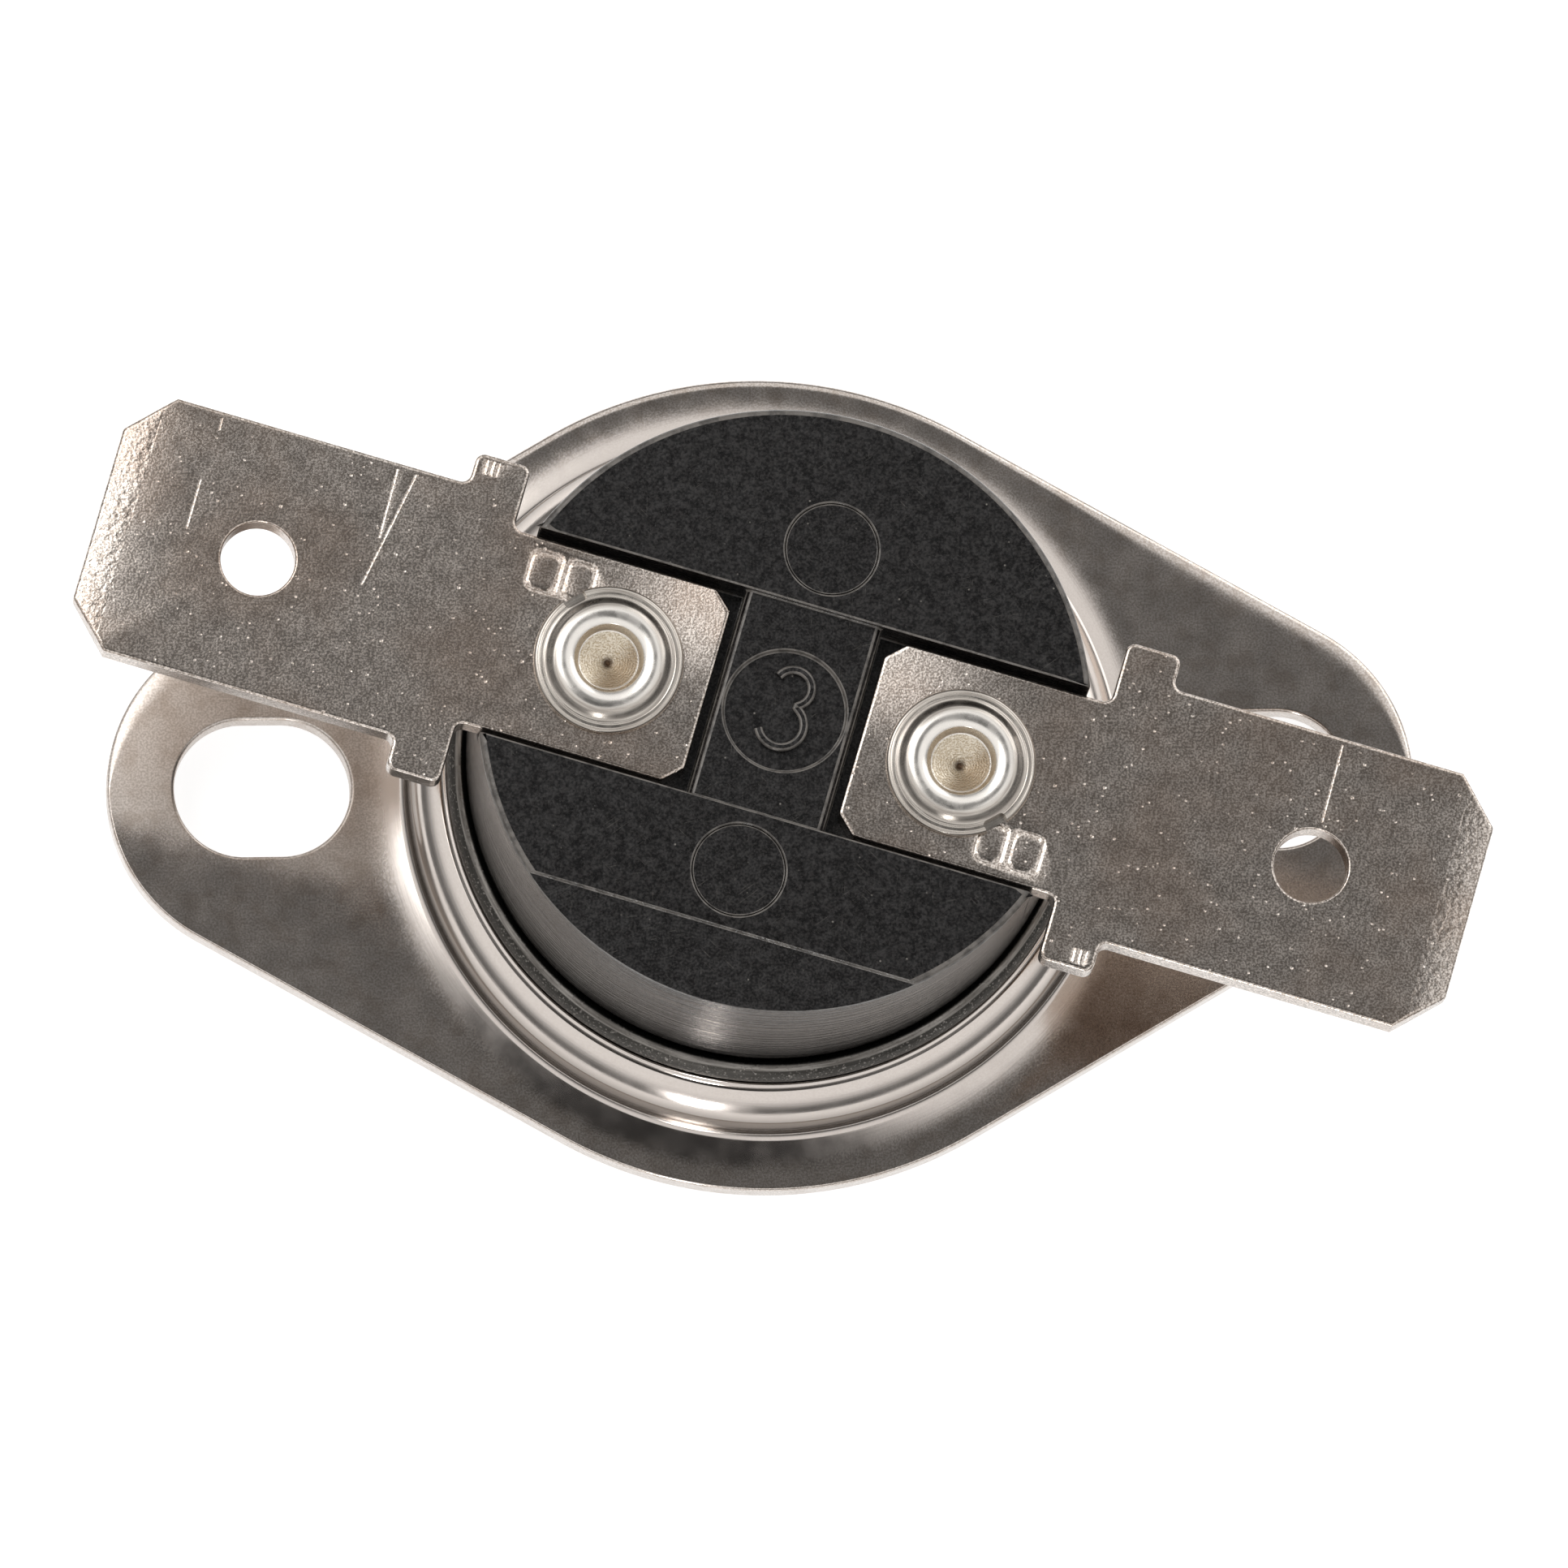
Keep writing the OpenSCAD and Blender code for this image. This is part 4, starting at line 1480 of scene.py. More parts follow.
@dataclass
class Bracket:
    """The loose pressed flange with its drawn collar and two slotted holes."""

    # The collar: its bore, its crown's bends, and how far from level its parts lean.
    bore: float = 7.58
    bend_in: float = 0.55
    bend_out: float = 1.25
    crown_at: Point = (7.30, 2.05)
    crown_lean: float = 62.0
    wall_lean: float = 86.0
    bend_tight: float = 0.3
    foot_in: float = 0.25
    dish_lean: float = 12.0
    dish: float = 4.4
    under_at: float = 9.10
    under_bend: float = 1.25
    # The flange: where it joins the collar, its two faces, its outline and its slots.
    join: float = 9.62
    low: float = 0.8
    high: float = 1.5
    waist: float = 9.85
    end_at: float = 11.5
    end_r: float = 4.1
    tangent: float = 60.0
    slot_at: float = 11.9
    slot_l: float = 4.2
    slot_w: float = 3.3
    # The bore's rounded lip, and the fine line that the die leaves beside it.
    bore_round: float = 0.06
    lip_turn: float = 3.0
    line_at: float = 7.73
    line_depth: float = 0.02
    line_spread: float = 1.2
    # Rounded edges, and the wider rolled-over one as (width, depth).
    edge_high: float = 0.09
    edge_low: float = 0.05
    roll: Point = (0.6, 0.1)
    roll_least: float = 0.07
    roll_start: float = 0.2
    roll_rise: Span = (2.0, 3.0)
    straight_steps: int = 24
    weld: float = 2e-4

    def collar(self) -> Loop:
        """The collar's open section, from the flange's underside round the bore to its top.

        Returns:
            (radius, height) points, clockwise.
        """
        x, z = self.crown_at
        slack, rise = 90 - self.crown_lean, 90 - self.wall_lean
        inner = math.degrees(math.acos((self.bore - x) / self.bend_in))
        outer = math.degrees(math.acos((self.bore - x) / self.bend_out))
        line = math.degrees(math.acos((self.line_at - x) / self.bend_out))
        crown = []
        for px, pz in arc(self.crown_at, self.bend_out, outer - self.lip_turn, slack, 56):
            angle = math.degrees(math.atan2(pz - z, px - x))
            dip = self.line_depth * math.exp(-(((angle - line) / self.line_spread) ** 2))
            pull = 1 - dip / self.bend_out
            crown.append((x + (px - x) * pull, z + (pz - z) * pull))
        top = z + self.bend_out * math.sin(math.radians(outer))
        apart = self.bend_out - self.bend_tight
        lean = math.radians(slack)
        middle = (x + apart * math.cos(lean), z + apart * math.sin(lean))
        shoulder = arc(middle, self.bend_tight, slack, rise, 12)
        steep, slight = math.radians(rise), math.radians(90 - self.dish_lean)
        turn = self.dish - self.foot_in
        foot_z = self.high + self.dish - turn * math.sin(slight)
        drop = shoulder[-1][1] - foot_z + self.foot_in * math.sin(steep)
        foot_x = shoulder[-1][0] + drop * math.tan(steep) + self.foot_in * math.cos(steep)
        dish_x = foot_x + turn * math.cos(slight)
        lip = self.bore + self.bore_round, top - self.bore_round
        return [
            (self.join, self.low),
            *arc((self.under_at, self.low + self.under_bend), self.under_bend, 270, 180, 20),
            *arc(self.crown_at, self.bend_in, 0, inner, 14),
            *arc(lip, self.bore_round, 180, 100, 5),
            *crown, *shoulder[1:],
            *arc((foot_x, foot_z), self.foot_in, 180 + rise, 270 - self.dish_lean, 18),
            *arc((dish_x, self.high + self.dish), self.dish, 270 - self.dish_lean, 270, 16)[1:],
            (self.join, self.high),
        ]

    def roll_width(self, point: Point) -> float:
        """How wide the upper edge rolls over: most on the ears' far side, least at the waist.

        Args:
            point: A point of the outline.

        Returns:
            The width there.
        """
        out, across = self.roll_rise
        away = min(max((math.hypot(*point) - self.waist) / out, 0.0), 1.0)
        side = min(max(point[1] / across, 0.0), 1.0)
        share = (self.roll_start + (1 - self.roll_start) * away) * side
        return self.roll_least + (self.roll[0] - self.roll_least) * share

    def flange(self) -> Plate:
        """The flat flange, open where it joins the collar.

        Returns:
            The sheet piece.
        """
        out, count = self.tangent, self.straight_steps
        arcs = [
            arc((self.end_at, 0), self.end_r, -out, out, 72),
            arc((0, 0), self.waist, out, 180 - out, 96),
            arc((-self.end_at, 0), self.end_r, 180 - out, 180 + out, 72),
            arc((0, 0), self.waist, 180 + out, 360 - out, 96),
        ]
        outline = []
        for part, after in zip(arcs, arcs[1:] + arcs[:1]):
            (x0, y0), (x1, y1) = part[-1], after[0]
            outline += part
            outline += [(x0 + (x1 - x0) * k / count, y0 + (y1 - y0) * k / count)
                        for k in range(1, count)]
        slots = []
        half, r = (self.slot_l - self.slot_w) / 2, self.slot_w / 2
        for side in Side:
            at = side * self.slot_at
            ring = arc((at + half, 0), r, -90, 90, 48) + arc((at - half, 0), r, 90, 270, 48)
            slots.append(ring[::-1])
        mouth = arc((0, 0), self.join, 0, 360, ROUND)[:-1][::-1]
        return Plate(self.low, self.high, outline, slots, [mouth], round_high=self.edge_high,
                     round_low=self.edge_low, roll=self.roll, room=self.roll_width)

    def build(self, shop: Workshop, finish: bpy.types.Material) -> bpy.types.Object:
        """Joins the spun collar and the flat flange into one sheet.

        Args:
            shop: The trees that shape pieces.
            finish: The piece's material.

        Returns:
            The finished piece.
        """
        bracket = shop.spin("flange_bracket", self.collar())
        flat = self.flange().mesh("flange_flat")
        joined = bmesh.new()
        joined.from_mesh(bracket.data)
        joined.from_mesh(flat)
        bmesh.ops.remove_doubles(joined, verts=joined.verts, dist=self.weld)
        bmesh.ops.recalc_face_normals(joined, faces=joined.faces)
        joined.to_mesh(bracket.data)
        joined.free()
        settle(shade(bracket), finish)
        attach(bracket, "flange")
        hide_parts("mounting_bracket")
        return bracket


@dataclass
class Housing:
    """The pressed body with its lands, channel, bridge and ejector marks."""

    # The outside.
    bottom: float = 2.18
    seat: float = 7.12
    seat_top: float = 3.617
    groove: float = 6.93
    groove_top: float = 4.347
    radius: float = 7.2
    top: float = 10.347
    rim_round: float = 0.15
    # The chamber and the recess in its roof.
    chamber: float = 5.95
    chamber_low: float = 5.247
    chamber_high: float = 6.397
    recess: Span = (-2.70, 2.80)
    recess_half: float = 2.2
    recess_top: float = 7.697
    # The channel for the terminals, and the bridge in it with its round mark.
    channel_z: float = 9.197
    channel_half: float = 2.55
    bridge_half: float = 1.65
    bridge_z: float = 10.147
    chamfer: float = 0.12
    mark_r: float = 1.45
    mark_z: float = 10.047
    # The step of the lower land, and the marks of the ejector pins.
    step_y: float = -5.45
    step_z: float = 10.267
    ramp_l: float = 0.07
    ramp_steps: int = 8
    ejector_y: float = 4.0
    ejector_r: float = 1.1
    ejector_z: float = 10.307
    rim_bead: float = 0.04
    # The rivets' holes; every round hole and mark has so many steps.
    rivet_x: float = 4.30
    hole_r: float = 1.15
    hole_steps: int = 96
    # The raised numeral: its width and thickness, and its arcs as arc() takes them.
    numeral_w: float = 0.36
    numeral_t: float = 0.2
    numeral_arcs: tuple[tuple[Point, float, float, float, int], ...] = (
        ((0.04, 0.57), 0.44, 155.0, -62.0, 18), ((0.0, -0.35), 0.54, 64.0, -155.0, 24))
    # The soft edges: their width, their steps and the bend from which an edge is softened.
    edge: float = 0.045
    edge_steps: int = 3
    edge_angle: float = 35.0

    def section(self) -> Loop:
        """The outside of the body of revolution, from the top's centre to the bottom's.

        Returns:
            (radius, height) points, clockwise.
        """
        rim = self.rim_round
        return [
            (0, self.top),
            *arc((self.radius - rim, self.top - rim), rim, 90, 0, 8),
            (self.radius, self.groove_top), (self.groove, self.groove_top),
            (self.groove, self.seat_top), (self.seat, self.seat_top),
            (self.seat, self.bottom), (0, self.bottom),
        ]

    def hollow(self, shop: Workshop) -> bpy.types.Object:
        """The chamber under the roof, with its step over the fixed plate and the arm's recess.

        Args:
            shop: The trees that shape pieces.

        Returns:
            The closed shape to cut away.
        """
        under = self.bottom - OVERSHOOT
        chamber = shop.spin("chamber", [(0, self.chamber_high), (self.chamber, self.chamber_high),
                                        (self.chamber, under), (0, under)])
        (left, right), half, far = self.recess, self.recess_half, 2 * self.radius
        step = prism("step", [(right, -far), (far, -far), (far, far), (right, far)],
                     self.chamber_low, self.chamber_high + OVERSHOOT, on_line())
        carve(chamber, step)
        pit = prism("pit", [(left, -half), (right, -half), (right, half), (left, half)],
                    self.chamber_low - OVERSHOOT, self.recess_top, on_line())
        carve(chamber, pit, Cut.JOIN)
        return chamber

    def channel(self) -> bpy.types.Object:
        """The channel for the terminals, which leaves the bridge standing.

        Returns:
            The closed shape to cut away.
        """
        far, over = 2 * self.radius, self.top + OVERSHOOT
        w, c, low, high = self.bridge_half, self.chamfer, self.channel_z, self.bridge_z
        outline = [(-far, low), (-w, low), (-w, high - c), (-w + c, high), (w - c, high),
                   (w, high - c), (w, low), (far, low), (far, over), (-far, over)]
        stand = Matrix.Rotation(math.pi / 2, 4, "X")
        return prism("channel", outline, -self.channel_half, self.channel_half, on_line() @ stand)

    def step(self) -> bpy.types.Object:
        """What the soft step takes off the lower land, an S-shaped ramp along its whole chord.

        Returns:
            The closed shape to cut away.
        """
        far, steps, over = 2 * self.radius, self.ramp_steps, self.top + OVERSHOOT
        ramp = []
        for k in range(steps + 1):
            t = k / steps
            ramp.append((self.step_y + self.ramp_l * t,
                         self.step_z + (self.top - self.step_z) * t * t * (3 - 2 * t)))
        side = [(-far, self.step_z), *ramp, (ramp[-1][0] + self.ramp_l, over), (-far, over)]
        along = Matrix(((0, 0, 1, 0), (1, 0, 0, 0), (0, 1, 0, 0), (0, 0, 0, 1)))
        return prism("land step", side, -far, far, on_line() @ along)

    def numeral(self) -> Loop:
        """The middle line of the mould's number, a plain 3, from its top end to the bottom one."""
        return [point for stretch in self.numeral_arcs for point in arc(*stretch)]

    def build(self, shop: Workshop, finish: bpy.types.Material) -> bpy.types.Object:
        """Carves the body of revolution, softens its edges and puts it in place.

        Args:
            shop: The trees that shape pieces.
            finish: The piece's material.

        Returns:
            The finished piece.
        """
        body = shop.spin("phenolic_body", self.section())
        carve(body, self.hollow(shop))
        carve(body, self.channel())
        over = self.top + OVERSHOOT
        for x, y, r, low, high in [
            (0, 0, self.mark_r, self.mark_z, over),
            (0, self.ejector_y, self.ejector_r, self.ejector_z, over),
            (0, -self.ejector_y, self.ejector_r, self.ejector_z, over),
            (self.rivet_x, 0, self.hole_r, self.bottom, self.top),
            (-self.rivet_x, 0, self.hole_r, self.bottom, self.top),
        ]:
            disc = arc((0, 0), r, 0, 360, self.hole_steps)[:-1]
            carve(body, prism("drill", disc, low, high, on_line(x, y)))
        soft = body.modifiers.new("soft edges", "BEVEL")
        soft.width = self.edge
        soft.segments = self.edge_steps
        soft.limit_method = "ANGLE"
        soft.angle_limit = math.radians(self.edge_angle)
        soft.use_clamp_overlap = False
        baked(body)
        bead = shop.bead("numeral", self.numeral(), self.mark_z, self.numeral_w, self.numeral_t)
        bead.data.transform(on_line())
        carve(body, bead, Cut.JOIN)
        for y in (self.ejector_y, -self.ejector_y):
            rim = shop.spin("witness", arc((self.ejector_r, self.top), self.rim_bead, 0, -330, 11),
                            closed=True, steps=self.hole_steps, place=on_line(0, y).translation)
            carve(body, rim, Cut.JOIN)
        carve(body, self.step())
        settle(worn(shade(body, self.edge_angle)), finish)
        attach(body, "body")
        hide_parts("housing")
        return body


@dataclass
class Terminal:
    """The flat blade terminal, one stamping used at both ends of the line."""

    # Sizes along the blade are from its rivet hole.
    low: float = 9.197
    high: float = 9.997
    rivet_x: float = 4.30
    hole_r: float = 1.15
    hole_steps: int = 96
    back: float = 2.42
    back_chamfer: float = 0.45
    corner_round: float = 0.14
    root_half: float = 2.40
    lug_from: float = 3.00
    lug_to: float = 4.31
    lug_half: float = 3.94
    lug_round: float = 0.22
    blade_half: float = 3.15
    reach: float = 12.44
    tip_chamfer: float = 1.03
    bevel_l: float = 0.78
    bevel_depth: float = 0.125
    detent_at: float = 8.55
    detent_r: float = 0.875
    # The stamped number, then the shear marks and the scratches, each with half its pen's width.
    number_at: Point = (1.62, -1.62)
    number_w: float = 0.96
    number_rows: tuple[Point, Point] = ((-0.78, -0.07), (0.11, 0.76))
    number_round: float = 0.2
    number_pen: float = 0.08
    floor_share: float = 0.15
    shear_at: Point = (3.9, -3.64)
    shear_l: float = 0.3
    shear_gap: float = 0.15
    shear_pen: float = 0.05
    scratch_pen: float = 0.035
    pen_steps: int = 3
    edge_high: float = 0.06
    edge_low: float = 0.04
    edge_roll: Point = (0.09, 0.06)
    scratches: dict[Side, list[tuple[Point, Point]]] = field(default_factory=lambda: {
        Side.LEFT: [((6.01, -2.98), (5.97, -1.31)), ((5.55, -2.98), (6.05, -0.11)),
                    ((10.37, -1.42), (10.36, -0.22)), ((10.29, -2.98), (10.28, -2.7))],
        Side.RIGHT: [((8.49, 2.98), (8.52, 1.08))],
    })

    def outline(self) -> Loop:
        """The stamping's outline, from its inner end round its tip.

        Returns:
            The outline, counterclockwise.
        """
        c, r, t, soft = self.back_chamfer, self.lug_round, self.tip_chamfer, self.corner_round
        half = [
            (-self.back, -self.root_half + c, soft), (-self.back + c, -self.root_half, soft),
            (self.lug_from, -self.root_half, r), (self.lug_from, -self.lug_half, r),
            (self.lug_to, -self.lug_half, r), (self.lug_to, -self.blade_half, r),
            (self.reach - t, -self.blade_half, 0),
            (self.reach - self.bevel_l, -self.blade_half + t - self.bevel_l, 0),
            (self.reach, -self.blade_half + t, soft),
        ]
        return rounded(half + [(x, -y, radius) for x, y, radius in half[::-1]])

    def number(self) -> list[tuple[float, list[Loop], list[Loop]]]:
        """The stamped tool number, a plain 8 of two rounded frames, upright as seen from the tip.

        Returns:
            The grooves, each as Plate takes it.
        """
        grooves = []
        u, v = self.number_at
        w, r = self.number_w / 2, self.number_round
        for low, high in self.number_rows:
            frame = rounded([(-w, low, r), (w, low, r), (w, high, r), (-w, high, r)])
            path = [(u - y, v + x) for x, y in frame]
            grooves.append((self.number_pen, frame_of(path, self.number_pen),
                            frame_of(path, self.number_pen * self.floor_share)))
        return grooves

    def scores(self, side: Side) -> list[tuple[float, list[Loop], list[Loop]]]:
        """The shear marks at a lug and this blade's own scratches.

        Args:
            side: Which blade it is.

        Returns:
            The grooves, each as Plate takes it.
        """
        u, v = self.shear_at
        long, steps = self.shear_l / 2, self.pen_steps
        lines = []
        for k in (-1, 0, 1):
            along = u + k * self.shear_gap
            lines.append(([(along, v - long), (along, v + long)], self.shear_pen))
        lines += [(list(ends), self.scratch_pen) for ends in self.scratches[side]]
        return [(pen, [stroke(path, pen, steps)], [stroke(path, pen * self.floor_share, steps)])
                for path, pen in lines]

    def lift(self, point: Point, upper: bool) -> float:
        """How much the tip's bevel moves a face.

        Args:
            point: A point of the plan.
            upper: Whether the face is the upper one.

        Returns:
            The height to add there.
        """
        past = max(0.0, point[0] - (self.reach - self.bevel_l))
        fall = past / self.bevel_l * self.bevel_depth
        return -fall if upper else fall

    def stamping(self, side: Side) -> bpy.types.Mesh:
        """The stamping about its rivet hole, its tip towards +X, with its own scratches.

        Args:
            side: Which blade it is.

        Returns:
            The mesh, in millimetres.
        """
        holes = [arc((at, 0), radius, 360, 0, self.hole_steps)[:-1]
                 for at, radius in ((0, self.hole_r), (self.detent_at, self.detent_r))]
        crease = self.reach - self.bevel_l
        half = self.blade_half - self.tip_chamfer + self.bevel_l
        line = ((crease, -half), (crease, half))
        grooves = self.number() + self.scores(side)
        plate = Plate(self.low, self.high, self.outline(), holes, grooves=grooves, creases=[line],
                      round_high=self.edge_high, round_low=self.edge_low, roll=self.edge_roll)
        return plate.mesh("terminal_stamping", self.lift)

    def build(self, shop: Workshop, side: Side, finish: bpy.types.Material) -> bpy.types.Object:
        """Sets one stamping at its rivet and puts it in place.

        Args:
            shop: The trees that shape pieces.
            side: Which blade it is.
            finish: The blade's material.

        Returns:
            The finished blade.
        """
        name = side.name.lower()
        blade = new_object(f"blade_{name}", self.stamping(side))
        turn = LINE_TURN + (0 if side is Side.RIGHT else math.pi)
        grow(blade, shop.stamper, Out=self.rivet_x, Turn=turn)
        tidy_normals(blade.data)
        settle(shade(blade), finish)
        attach(blade, "body")
        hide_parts(f"terminal_{name}")
        return blade


@dataclass
class Rivet:
    """A semi-tubular rivet whose mouth is rolled over the terminal."""

    # The terminal's face, the shank, the rolled head and its raised crest.
    face: float = 9.997
    at: float = 4.30
    shank: float = 1.1
    head: float = 1.76
    head_t: float = 0.18
    crest_at: float = 1.08
    crest_r: float = 0.42
    crest_arc: Span = (130.0, 62.0)
    top: float = 0.42
    skirt_at: float = 1.5
    skirt_top: float = 0.2
    skirt_ease: float = 0.55
    skirt_steps: int = 20
    flat_steps: int = 36
    # The dish's depth, its small point and its mouth, both as (radius, rise).
    dish: float = 0.35
    dish_point: Point = (0.05, 0.015)
    cone: Point = (0.71, 0.09)
    # The inner head: its radius, its thickness and its rounded edges.
    inner_head: float = 1.6
    inner_t: float = 0.45
    inner_high_r: float = 0.08
    inner_low_r: float = 0.12
    # The fine rings of the rolling tool, and the notch in the head's rim.
    rings: tuple[float, ...] = (1.55, 1.68)
    ring_depth: float = 0.012
    ring_spread: float = 0.022
    notch: float = 1.5
    notch_half: float = 0.28
    notch_round: float = 0.1
    notch_turn: float = -45.0
    notch_floor: float = 0.01
    steps: int = 160

    def section(self, seat: float) -> Loop:
        """The rivet's section from the dish's point to the inner head's centre.

        Args:
            seat: The height that the inner head bears on.

        Returns:
            (radius, height) points, clockwise.
        """
        edge = self.head_t / 2
        middle = self.face + self.top - self.crest_r
        crest = arc((self.crest_at, middle), self.crest_r, *self.crest_arc, 24)
        fall = crest[-1][1] - self.face - self.skirt_top
        skirt = []
        (start, high), point, bottom = crest[-1], self.dish_point, self.face - self.dish
        for k in range(1, self.skirt_steps + 1):
            t = k / self.skirt_steps
            slant = t + (t * t * (3 - 2 * t) - t) * self.skirt_ease
            skirt.append((start + (self.skirt_at - start) * t, high - fall * slant))
        flat, width = [], self.head - edge - self.skirt_at
        for k in range(1, self.flat_steps + 1):
            r = self.skirt_at + width * k / self.flat_steps
            dip = sum(math.exp(-(((r - ring) / self.ring_spread) ** 2)) for ring in self.rings)
            sink = (self.skirt_top - self.head_t) * k / self.flat_steps
            flat.append((r, self.face + self.skirt_top - sink - dip * self.ring_depth))
        low, high_r, low_r = seat - self.inner_t, self.inner_high_r, self.inner_low_r
        return [
            (0, bottom), (point[0], bottom + point[1]), (self.cone[0], self.face + self.cone[1]),
            *crest, *skirt, *flat,
            *arc((self.head - edge, self.face + edge), edge, 80, -80, 10),
            (self.shank, self.face), (self.shank, seat),
            *arc((self.inner_head - high_r, seat - high_r), high_r, 90, 0, 4),
            *arc((self.inner_head - low_r, low + low_r), low_r, 0, -90, 5),
            (0, low),
        ]

    def build(self, shop: Workshop, side: Side, seat: float,
              finish: bpy.types.Material) -> bpy.types.Object:
        """Spins one rivet at its end of the line and puts it in place.

        Args:
            shop: The trees that shape pieces.
            side: Which rivet it is.
            seat: The height that its inner head bears on.
            finish: The rivet's material.

        Returns:
            The finished rivet.
        """
        name = side.name.lower()
        spot = on_line(side * self.at)
        rivet = shop.spin(f"rolled_rivet_{name}", self.section(seat), steps=self.steps,
                          place=spot.translation)
        at, half, soft, far = self.notch, self.notch_half, self.notch_round, 2 * self.head
        gap = rounded([(at, -half, soft), (far, -half, 0), (far, half, 0), (at, half, soft)])
        turn = math.radians(self.notch_turn) + (math.pi if side is Side.LEFT else 0)
        carve(rivet, prism("notch", gap, self.face + self.notch_floor, self.face + OVERSHOOT,
                           spot @ Matrix.Rotation(turn, 4, "Z")))
        settle(shade(rivet), finish)
        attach(rivet, "body")
        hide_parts(f"rivet_{name}")
        return rivet


@dataclass
class Switchwork:
    """The sealed works: disc, guide, pin, contact arm, plate and contacts."""

    # The contact arm, from the clamped pad at the left rivet to the contact at its tip.
    arm_low: float = 6.247
    arm_high: float = 6.397
    arm_half: float = 1.6
    arm_corner: float = 0.4
    pad: float = 1.6
    hole: float = 1.15
    rivet_x: float = 4.30
    reach: float = 2.75
    contact_at: float = 1.85
    contact_hole: float = 0.42
    root: float = -2.70
    bend_to: float = -1.0
    edge: float = 0.02
    side_step: float = 0.5
    side_steps: int = 12
    bend_step: float = 0.15
    bend_steps: int = 14
    # The fixed plate's underside, and the pin.
    plate_low: float = 4.847
    pin_r: float = 0.8
    pin_low: float = 0.85
    pin_high: float = 6.227
    pin_bevel: float = 0.15
    pin_dome: float = 1.5
    pin_steps: int = 96

    def arm(self, finish: bpy.types.Material) -> bpy.types.Object:
        """The leaf that the pin bends, with edge loops cut across it near its root.

        Args:
            finish: The leaf's material.

        Returns:
            The finished leaf.
        """
        meet = math.degrees(math.asin(min(1.0, self.arm_half / self.pad)))
        back = arc((-self.rivet_x, 0), self.pad, meet, 360 - meet, 48)
        end = rounded([(self.reach, -self.arm_half, self.arm_corner),
                       (self.reach, self.arm_half, self.arm_corner), (0, self.arm_half, 0),
                       (0, -self.arm_half, 0)])[:-2]
        low_edge = [(-self.rivet_x + k * self.side_step, -self.arm_half)
                    for k in range(1, self.side_steps)]
        high_edge = [(x, -y) for x, y in low_edge[::-1]]
        outline = back + low_edge + end + high_edge
        holes = [arc((-self.rivet_x, 0), self.hole, 360, 0, 48)[:-1],
                 arc((self.contact_at, 0), self.contact_hole, 360, 0, 32)[:-1]]
        plate = Plate(self.arm_low, self.arm_high, outline, holes, round_high=self.edge,
                      round_low=self.edge, round_steps=2)
        mesh = plate.mesh("contact_leaf")
        shape = bmesh.new()
        shape.from_mesh(mesh)
        for k in range(self.bend_steps):
            everything = shape.verts[:] + shape.edges[:] + shape.faces[:]
            bmesh.ops.bisect_plane(shape, geom=everything, dist=WELD, plane_no=(1, 0, 0),
                                   plane_co=(self.root + k * self.bend_step, 0, 0))
        shape.to_mesh(mesh)
        shape.free()
        leaf = new_object("contact_leaf", mesh)
        leaf.data.transform(on_line())
        tidy_normals(leaf.data)
        settle(shade(leaf), finish)
        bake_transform(leaf)
        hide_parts("contact_arm")
        return leaf

    def pin(self, shop: Workshop, finish: bpy.types.Material) -> bpy.types.Object:
        """The pin between disc and leaf: its head is domed, so that it rolls under the tilted leaf.

        Args:
            shop: The trees that shape pieces.
            finish: The piece's material.

        Returns:
            The finished piece.
        """
        lean = math.degrees(math.asin(self.pin_r / self.pin_dome))
        section = [
            *arc((0, self.pin_high - self.pin_dome), self.pin_dome, 90, 90 - lean, 16),
            (self.pin_r, self.pin_low + self.pin_bevel),
            (self.pin_r - self.pin_bevel, self.pin_low),
            (0, self.pin_low),
        ]
        pin = shop.spin("ceramic_pin", section, steps=self.pin_steps)
        settle(shade(pin), finish)
        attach(pin, "pin")
        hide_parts("transfer_pin")
        return pin

    def dress(self, finishes: dict[str, bpy.types.Material]) -> None:
        """Gives the frame's own inner solids their materials.

        Args:
            finishes: The material of each of those nodes.
        """
        for node, finish in finishes.items():
            for slot in frame["nodes"][node].material_slots:
                slot.material = finish


# The studio


@dataclass(frozen=True)
class Shade:
    """A dim patch of the light tent, like the opening that the camera looks through.

    Its middle is tilted from straight up towards an azimuth; all angles are in degrees.
    """

    tilt: float
    azimuth: float
    outer: float
    inner: float
    glow: float


@dataclass(frozen=True)
class SoftBox:
    """A lamp: where it hangs and its size in millimetres, and its face's glow, 1 for white."""

    name: str
    place: tuple[float, float, float]
    size: Point
    glow: float

    def hang(self, aim: tuple[float, float, float]) -> None:
        """Hangs the lamp.

        Args:
            aim: The point that it faces, in millimetres.
        """
        data = bpy.data.lights.new(self.name, "AREA")
        data.shape = "RECTANGLE"
        data.size, data.size_y = self.size[0] * MM, self.size[1] * MM
        data.energy = self.glow * math.pi * data.size * data.size_y
        lamp = bpy.data.objects.new(self.name, data)
        lamp.location = Vector(self.place) * MM
        lamp.rotation_euler = (Vector(self.place) - Vector(aim)).to_track_quat("Z", "Y").to_euler()
        lamp.visible_camera = False
        bpy.context.scene.collection.objects.link(lamp)


def direction(tilt: float, azimuth: float) -> Vector:
    """The unit vector that is tilted from straight up towards an azimuth, both in degrees."""
    off, way = math.radians(tilt), math.radians(azimuth)
    return Vector((math.sin(off) * math.cos(way), math.sin(off) * math.sin(way), math.cos(off)))


